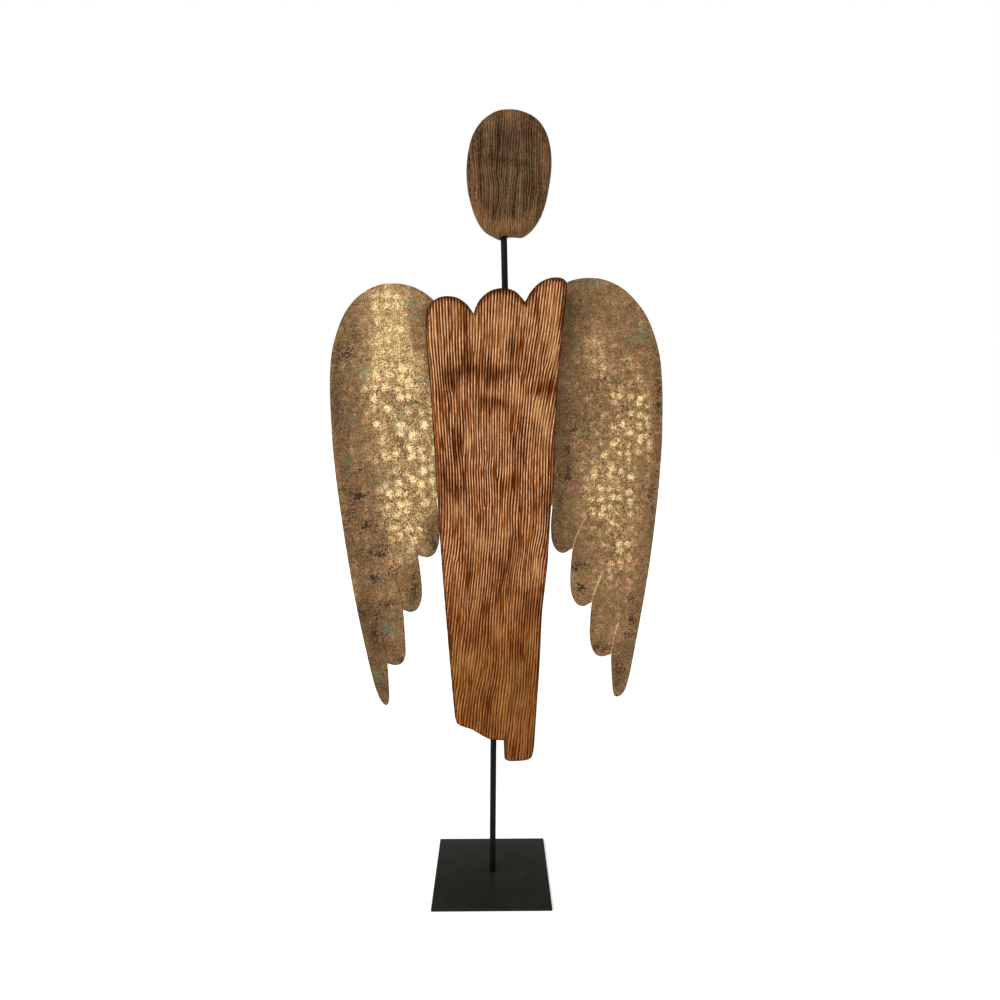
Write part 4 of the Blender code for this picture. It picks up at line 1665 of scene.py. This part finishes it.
RIGHT_WING_MARKS: Marks = {
    # Painted reflection of the lamp, partly rubbed gold
    Mark.POLISH: (
        (186, 621, 18, 58, 0.2), (161, 529, 34, 60, 0.3), (159, 437, 24, 53, 0.1), (140, 704, 23, 38, 0.1),
        (144, 621, 26, 52, 0.16), (149, 653, 23, 26, 0.15), (135, 717, 16, 18, 0.22),
        (138, 698, 16, 13, 0.22), (141, 675, 13, 13, 0.3), (179, 685, 12, 13, 0.35), (193, 653, 9, 15, 0.4),
        (189, 631, 10, 10, 0.4), (201, 610, 8, 16, 0.45), (164, 640, 12, 12, 0.3), (170, 601, 13, 12, 0.4),
        (171, 574, 14, 16, 0.5), (186, 582, 10, 16, 0.4), (205, 579, 7, 16, 0.35), (150, 536, 12, 12, 0.45),
        (171, 540, 16, 16, 0.45), (133, 514, 12, 11, 0.45), (158, 506, 18, 13, 0.45),
        (185, 510, 11, 18, 0.45), (137, 487, 13, 11, 0.4), (169, 479, 13, 12, 0.45), (152, 558, 10, 10, 0.3),
        (170, 448, 16, 13, 0.4), (143, 453, 13, 11, 0.3), (159, 417, 16, 16, 0.35), (186, 423, 9, 19, 0.25),
        (146, 397, 13, 11, 0.25), (173, 383, 12, 13, 0.25), (164, 350, 12, 11, 0.2), (122, 543, 10, 10, 0.2),
    ),
    # Dull patina, and painted shade by the body and at the edges away from the lamp
    Mark.DULL: (
        (104, 748, 10, 35, 0.35), (99, 698, 8, 31, 0.3), (96, 633, 8, 33, 0.3), (120, 755, 13, 18, 0.3),
        (96, 575, 9, 29, 0.55), (105, 543, 9, 16, 0.4), (90, 497, 8, 26, 0.45), (103, 464, 11, 19, 0.35),
        (98, 440, 11, 8, 0.5), (114, 417, 8, 13, 0.45), (120, 386, 9, 13, 0.5), (134, 336, 7, 22, 0.35),
        (145, 308, 11, 11, 0.55), (174, 295, 12, 22, 0.5), (170, 258, 12, 22, 0.8), (192, 354, 7, 24, 0.45),
        (201, 403, 7, 27, 0.4), (210, 463, 5, 35, 0.45), (215, 653, 5, 51, 0.55), (216, 543, 5, 45, 0.45),
        (153, 761, 28, 15, 0.2), (199, 704, 8, 10, 0.25), (144, 363, 11, 13, 0.2),
    ),
    Mark.VERDIGRIS: (
        (129, 781, 13, 6, 0.7), (106, 784, 6, 4, 0.5), (163, 718, 13, 6, 0.4), (196, 717, 8, 10, 0.6),
        (182, 710, 8, 6, 0.35), (144, 626, 16, 9, 0.45), (122, 595, 8, 10, 0.4), (115, 614, 7, 8, 0.4),
        (139, 558, 10, 7, 0.4), (101, 487, 9, 16, 0.35), (108, 390, 5, 13, 0.3), (150, 313, 5, 7, 0.35),
        (196, 430, 7, 11, 0.25), (151, 666, 10, 10, 0.2),
    ),
    Mark.SOOT: (
        (150, 664, 6, 5, 0.3), (171, 626, 7, 5, 0.35), (99, 566, 5, 8, 0.6), (98, 537, 8, 7, 0.7),
        (121, 608, 5, 5, 0.5), (123, 587, 5, 5, 0.5), (105, 595, 5, 6, 0.4), (84, 450, 5, 5, 0.5),
        (120, 417, 9, 4, 0.6), (110, 413, 5, 4, 0.6), (120, 386, 7, 7, 0.5), (128, 351, 7, 11, 0.3),
        (145, 306, 11, 5, 0.6), (184, 370, 4, 5, 0.5), (187, 345, 5, 7, 0.5), (182, 322, 5, 5, 0.5),
        (211, 503, 4, 18, 0.4), (90, 503, 5, 13, 0.3), (171, 272, 7, 14, 0.3), (218, 640, 3, 34, 0.5),
    ),
}

BODY = Plank(
    node="body", slot="body", grain=BODY_GRAIN, ring_width=3.6, section_depth=10.0, rounding=3.0, bands=4,
    per_ring=6, row_step=2.9, back_per_ring=4, back_row_step=6.0, wall_rows=11, hole_radius=4.5,
    rule={
        "Groove Depth": 1.25 * MM, "Groove Width": 0.62, "Crown": 0.22 * MM, "Chip Depth": 0.25 * MM,
        "Saw Depth": 0.0, "Edge Share": 0.22, "Least Carve": 0.2, "Breaks": 14.0, "Seed": 3,
    },
    marking=BODY_WEAR,
)

HEAD = Plank(
    node="head", slot="head", grain=HEAD_GRAIN, ring_width=3.2, section_depth=5.4, rounding=8.0, bands=7,
    per_ring=6, row_step=0.95, back_per_ring=5, back_row_step=2.4, wall_rows=7, hole_radius=4.9,
    rule={
        "Groove Depth": 0.75 * MM, "Groove Width": 0.6, "Crown": 0.12 * MM, "Chip Depth": 0.3 * MM,
        "Saw Depth": 0.45 * MM, "Edge Share": 0.15, "Least Carve": 0.05, "Breaks": 40.0, "Seed": 8,
    },
    marking=HEAD_MARKS,
)

ROSY_BRASS = AgedBrass(
    "aged_brass_rosy", base=0.425, shine=0.25, contrast=0.85, glint_strength=0.32, slit_highlight=0.42, blush=0.85
)
WINGS = (
    Wing(Side.LEFT, seed=2, marking=LEFT_WING_MARKS, finish=AgedBrass(), dimple_spacing=15.0),
    Wing(Side.RIGHT, seed=5, marking=RIGHT_WING_MARKS, finish=ROSY_BRASS, dimple_spacing=12.0),
)
ROD_BLACK = BlackSteel("rod_black", colour=(11, 11, 9), worn=(18, 18, 15), roughness=0.46, gloss=0.09)
PLATE_BLACK = BlackSteel("plate_black", colour=(27, 29, 21), worn=(32, 34, 26), roughness=0.24, gloss=0.05)


# ---------------------------------------------------------------- studio


@dataclass
class Studio:
    """A pale floor, soft lights and the camera."""

    floor_size: float = 60.0
    floor_colour: Colour = (240, 240, 240)
    floor_cloud: Colour = (242, 242, 242)
    floor_glow: float = 0.35
    sky: float = 0.6
    sky_colour: tuple[float, float, float, float] = (1, 0.99, 0.975, 1)
    sun: float = 2.0
    sun_spread: float = 50.0
    sun_from: tuple[float, float, float] = (-0.55, -0.62, 0.62)
    camera_place: tuple[float, float, float] = (0.002086, -0.864931, 0.569354)
    camera_pitch: float = 4.298
    camera_turn: float = 0.592
    lens: float = 24.19
    film_width: float = 36.0
    nearest: float = 0.02

    def light(self) -> None:
        """Hang one broad soft light, high in front at the left, and surround the scene with a paler one."""
        data = bpy.data.lights.new("softbox", "SUN")
        data.energy, data.angle = self.sun, math.radians(self.sun_spread)
        lamp = new_thing("softbox", data)
        lamp.rotation_euler = (-Vector(self.sun_from)).to_track_quat("-Z", "Y").to_euler()
        scene = bpy.context.scene
        scene.world = scene.world or bpy.data.worlds.new("studio")
        scene.world.use_nodes = True
        g = Graph(scene.world.node_tree)
        g.tree.nodes.clear()
        seen = g.add("ShaderNodeBackground", {"Color": (1, 1, 1, 1), "Strength": 1.0})
        soft = g.add("ShaderNodeBackground", {"Color": self.sky_colour, "Strength": self.sky})
        straight = g.add("ShaderNodeLightPath").outputs["Is Camera Ray"]
        either = g.add("ShaderNodeMixShader", {0: straight, 1: soft.outputs[0], 2: seen.outputs[0]})
        g.add("ShaderNodeOutputWorld", {0: either.outputs[0]})

    def lay_floor(self) -> None:
        """Lay the pale floor."""
        mesh = bpy.data.meshes.new("floor")
        half = self.floor_size / 2
        corners = [(-half, -half, 0), (half, -half, 0), (half, half, 0), (-half, half, 0)]
        mesh.from_pydata(corners, [], [(0, 1, 2, 3)])
        s = Surface("pale_floor", 0.1)
        tone = s.noise(s.place, 3.0)
        shade = s.mix(s.smooth(tone, 0.3, 0.7), self.floor_colour, self.floor_cloud)
        s.feed(s.shader.inputs["Emission Color"], (1, 1, 1, 1))
        s.feed(s.shader.inputs["Emission Strength"], self.floor_glow)
        mesh.materials.append(s.finish(shade, 0.9, tone, 0.0))
        new_thing("floor", mesh)

    def build(self) -> None:
        """Set up the floor, the lights and the camera."""
        self.lay_floor()
        self.light()
        data = bpy.data.cameras.new("camera")
        data.lens, data.sensor_width, data.clip_start = self.lens, self.film_width, self.nearest
        camera = new_thing("camera", data)
        camera.location = self.camera_place
        pitch, turn = 90 - self.camera_pitch, -self.camera_turn
        camera.rotation_euler = Euler((math.radians(pitch), 0, math.radians(turn)))
        bpy.context.scene.camera = camera
        bpy.context.scene.view_settings.view_transform = "Standard"


def main() -> None:
    """Build the statue and its studio, piece by piece."""
    logging.basicConfig(level=logging.INFO, format="%(message)s")
    grain, sheet = brushed_grain(), hammered_sheet()
    black = ROD_BLACK.material()
    stand_rod, neck_rod = Rod("stand_rod"), Rod("neck_rod")
    made = [BasePlate().build(PLATE_BLACK.material()), stand_rod.build(black), neck_rod.build(black)]
    made.append(BODY.build(grain, BrushedPine().material(), (stand_rod, neck_rod)))
    made.append(HEAD.build(grain, OldWood().material(), (neck_rod,)))
    made += [wing.build(sheet) for wing in WINGS]
    for piece in made:
        log.info("%s: %d faces", piece.name, len(piece.data.polygons))
    Studio().build()


if __name__ == "__main__":
    main()
    bpy.context.view_layer.update()
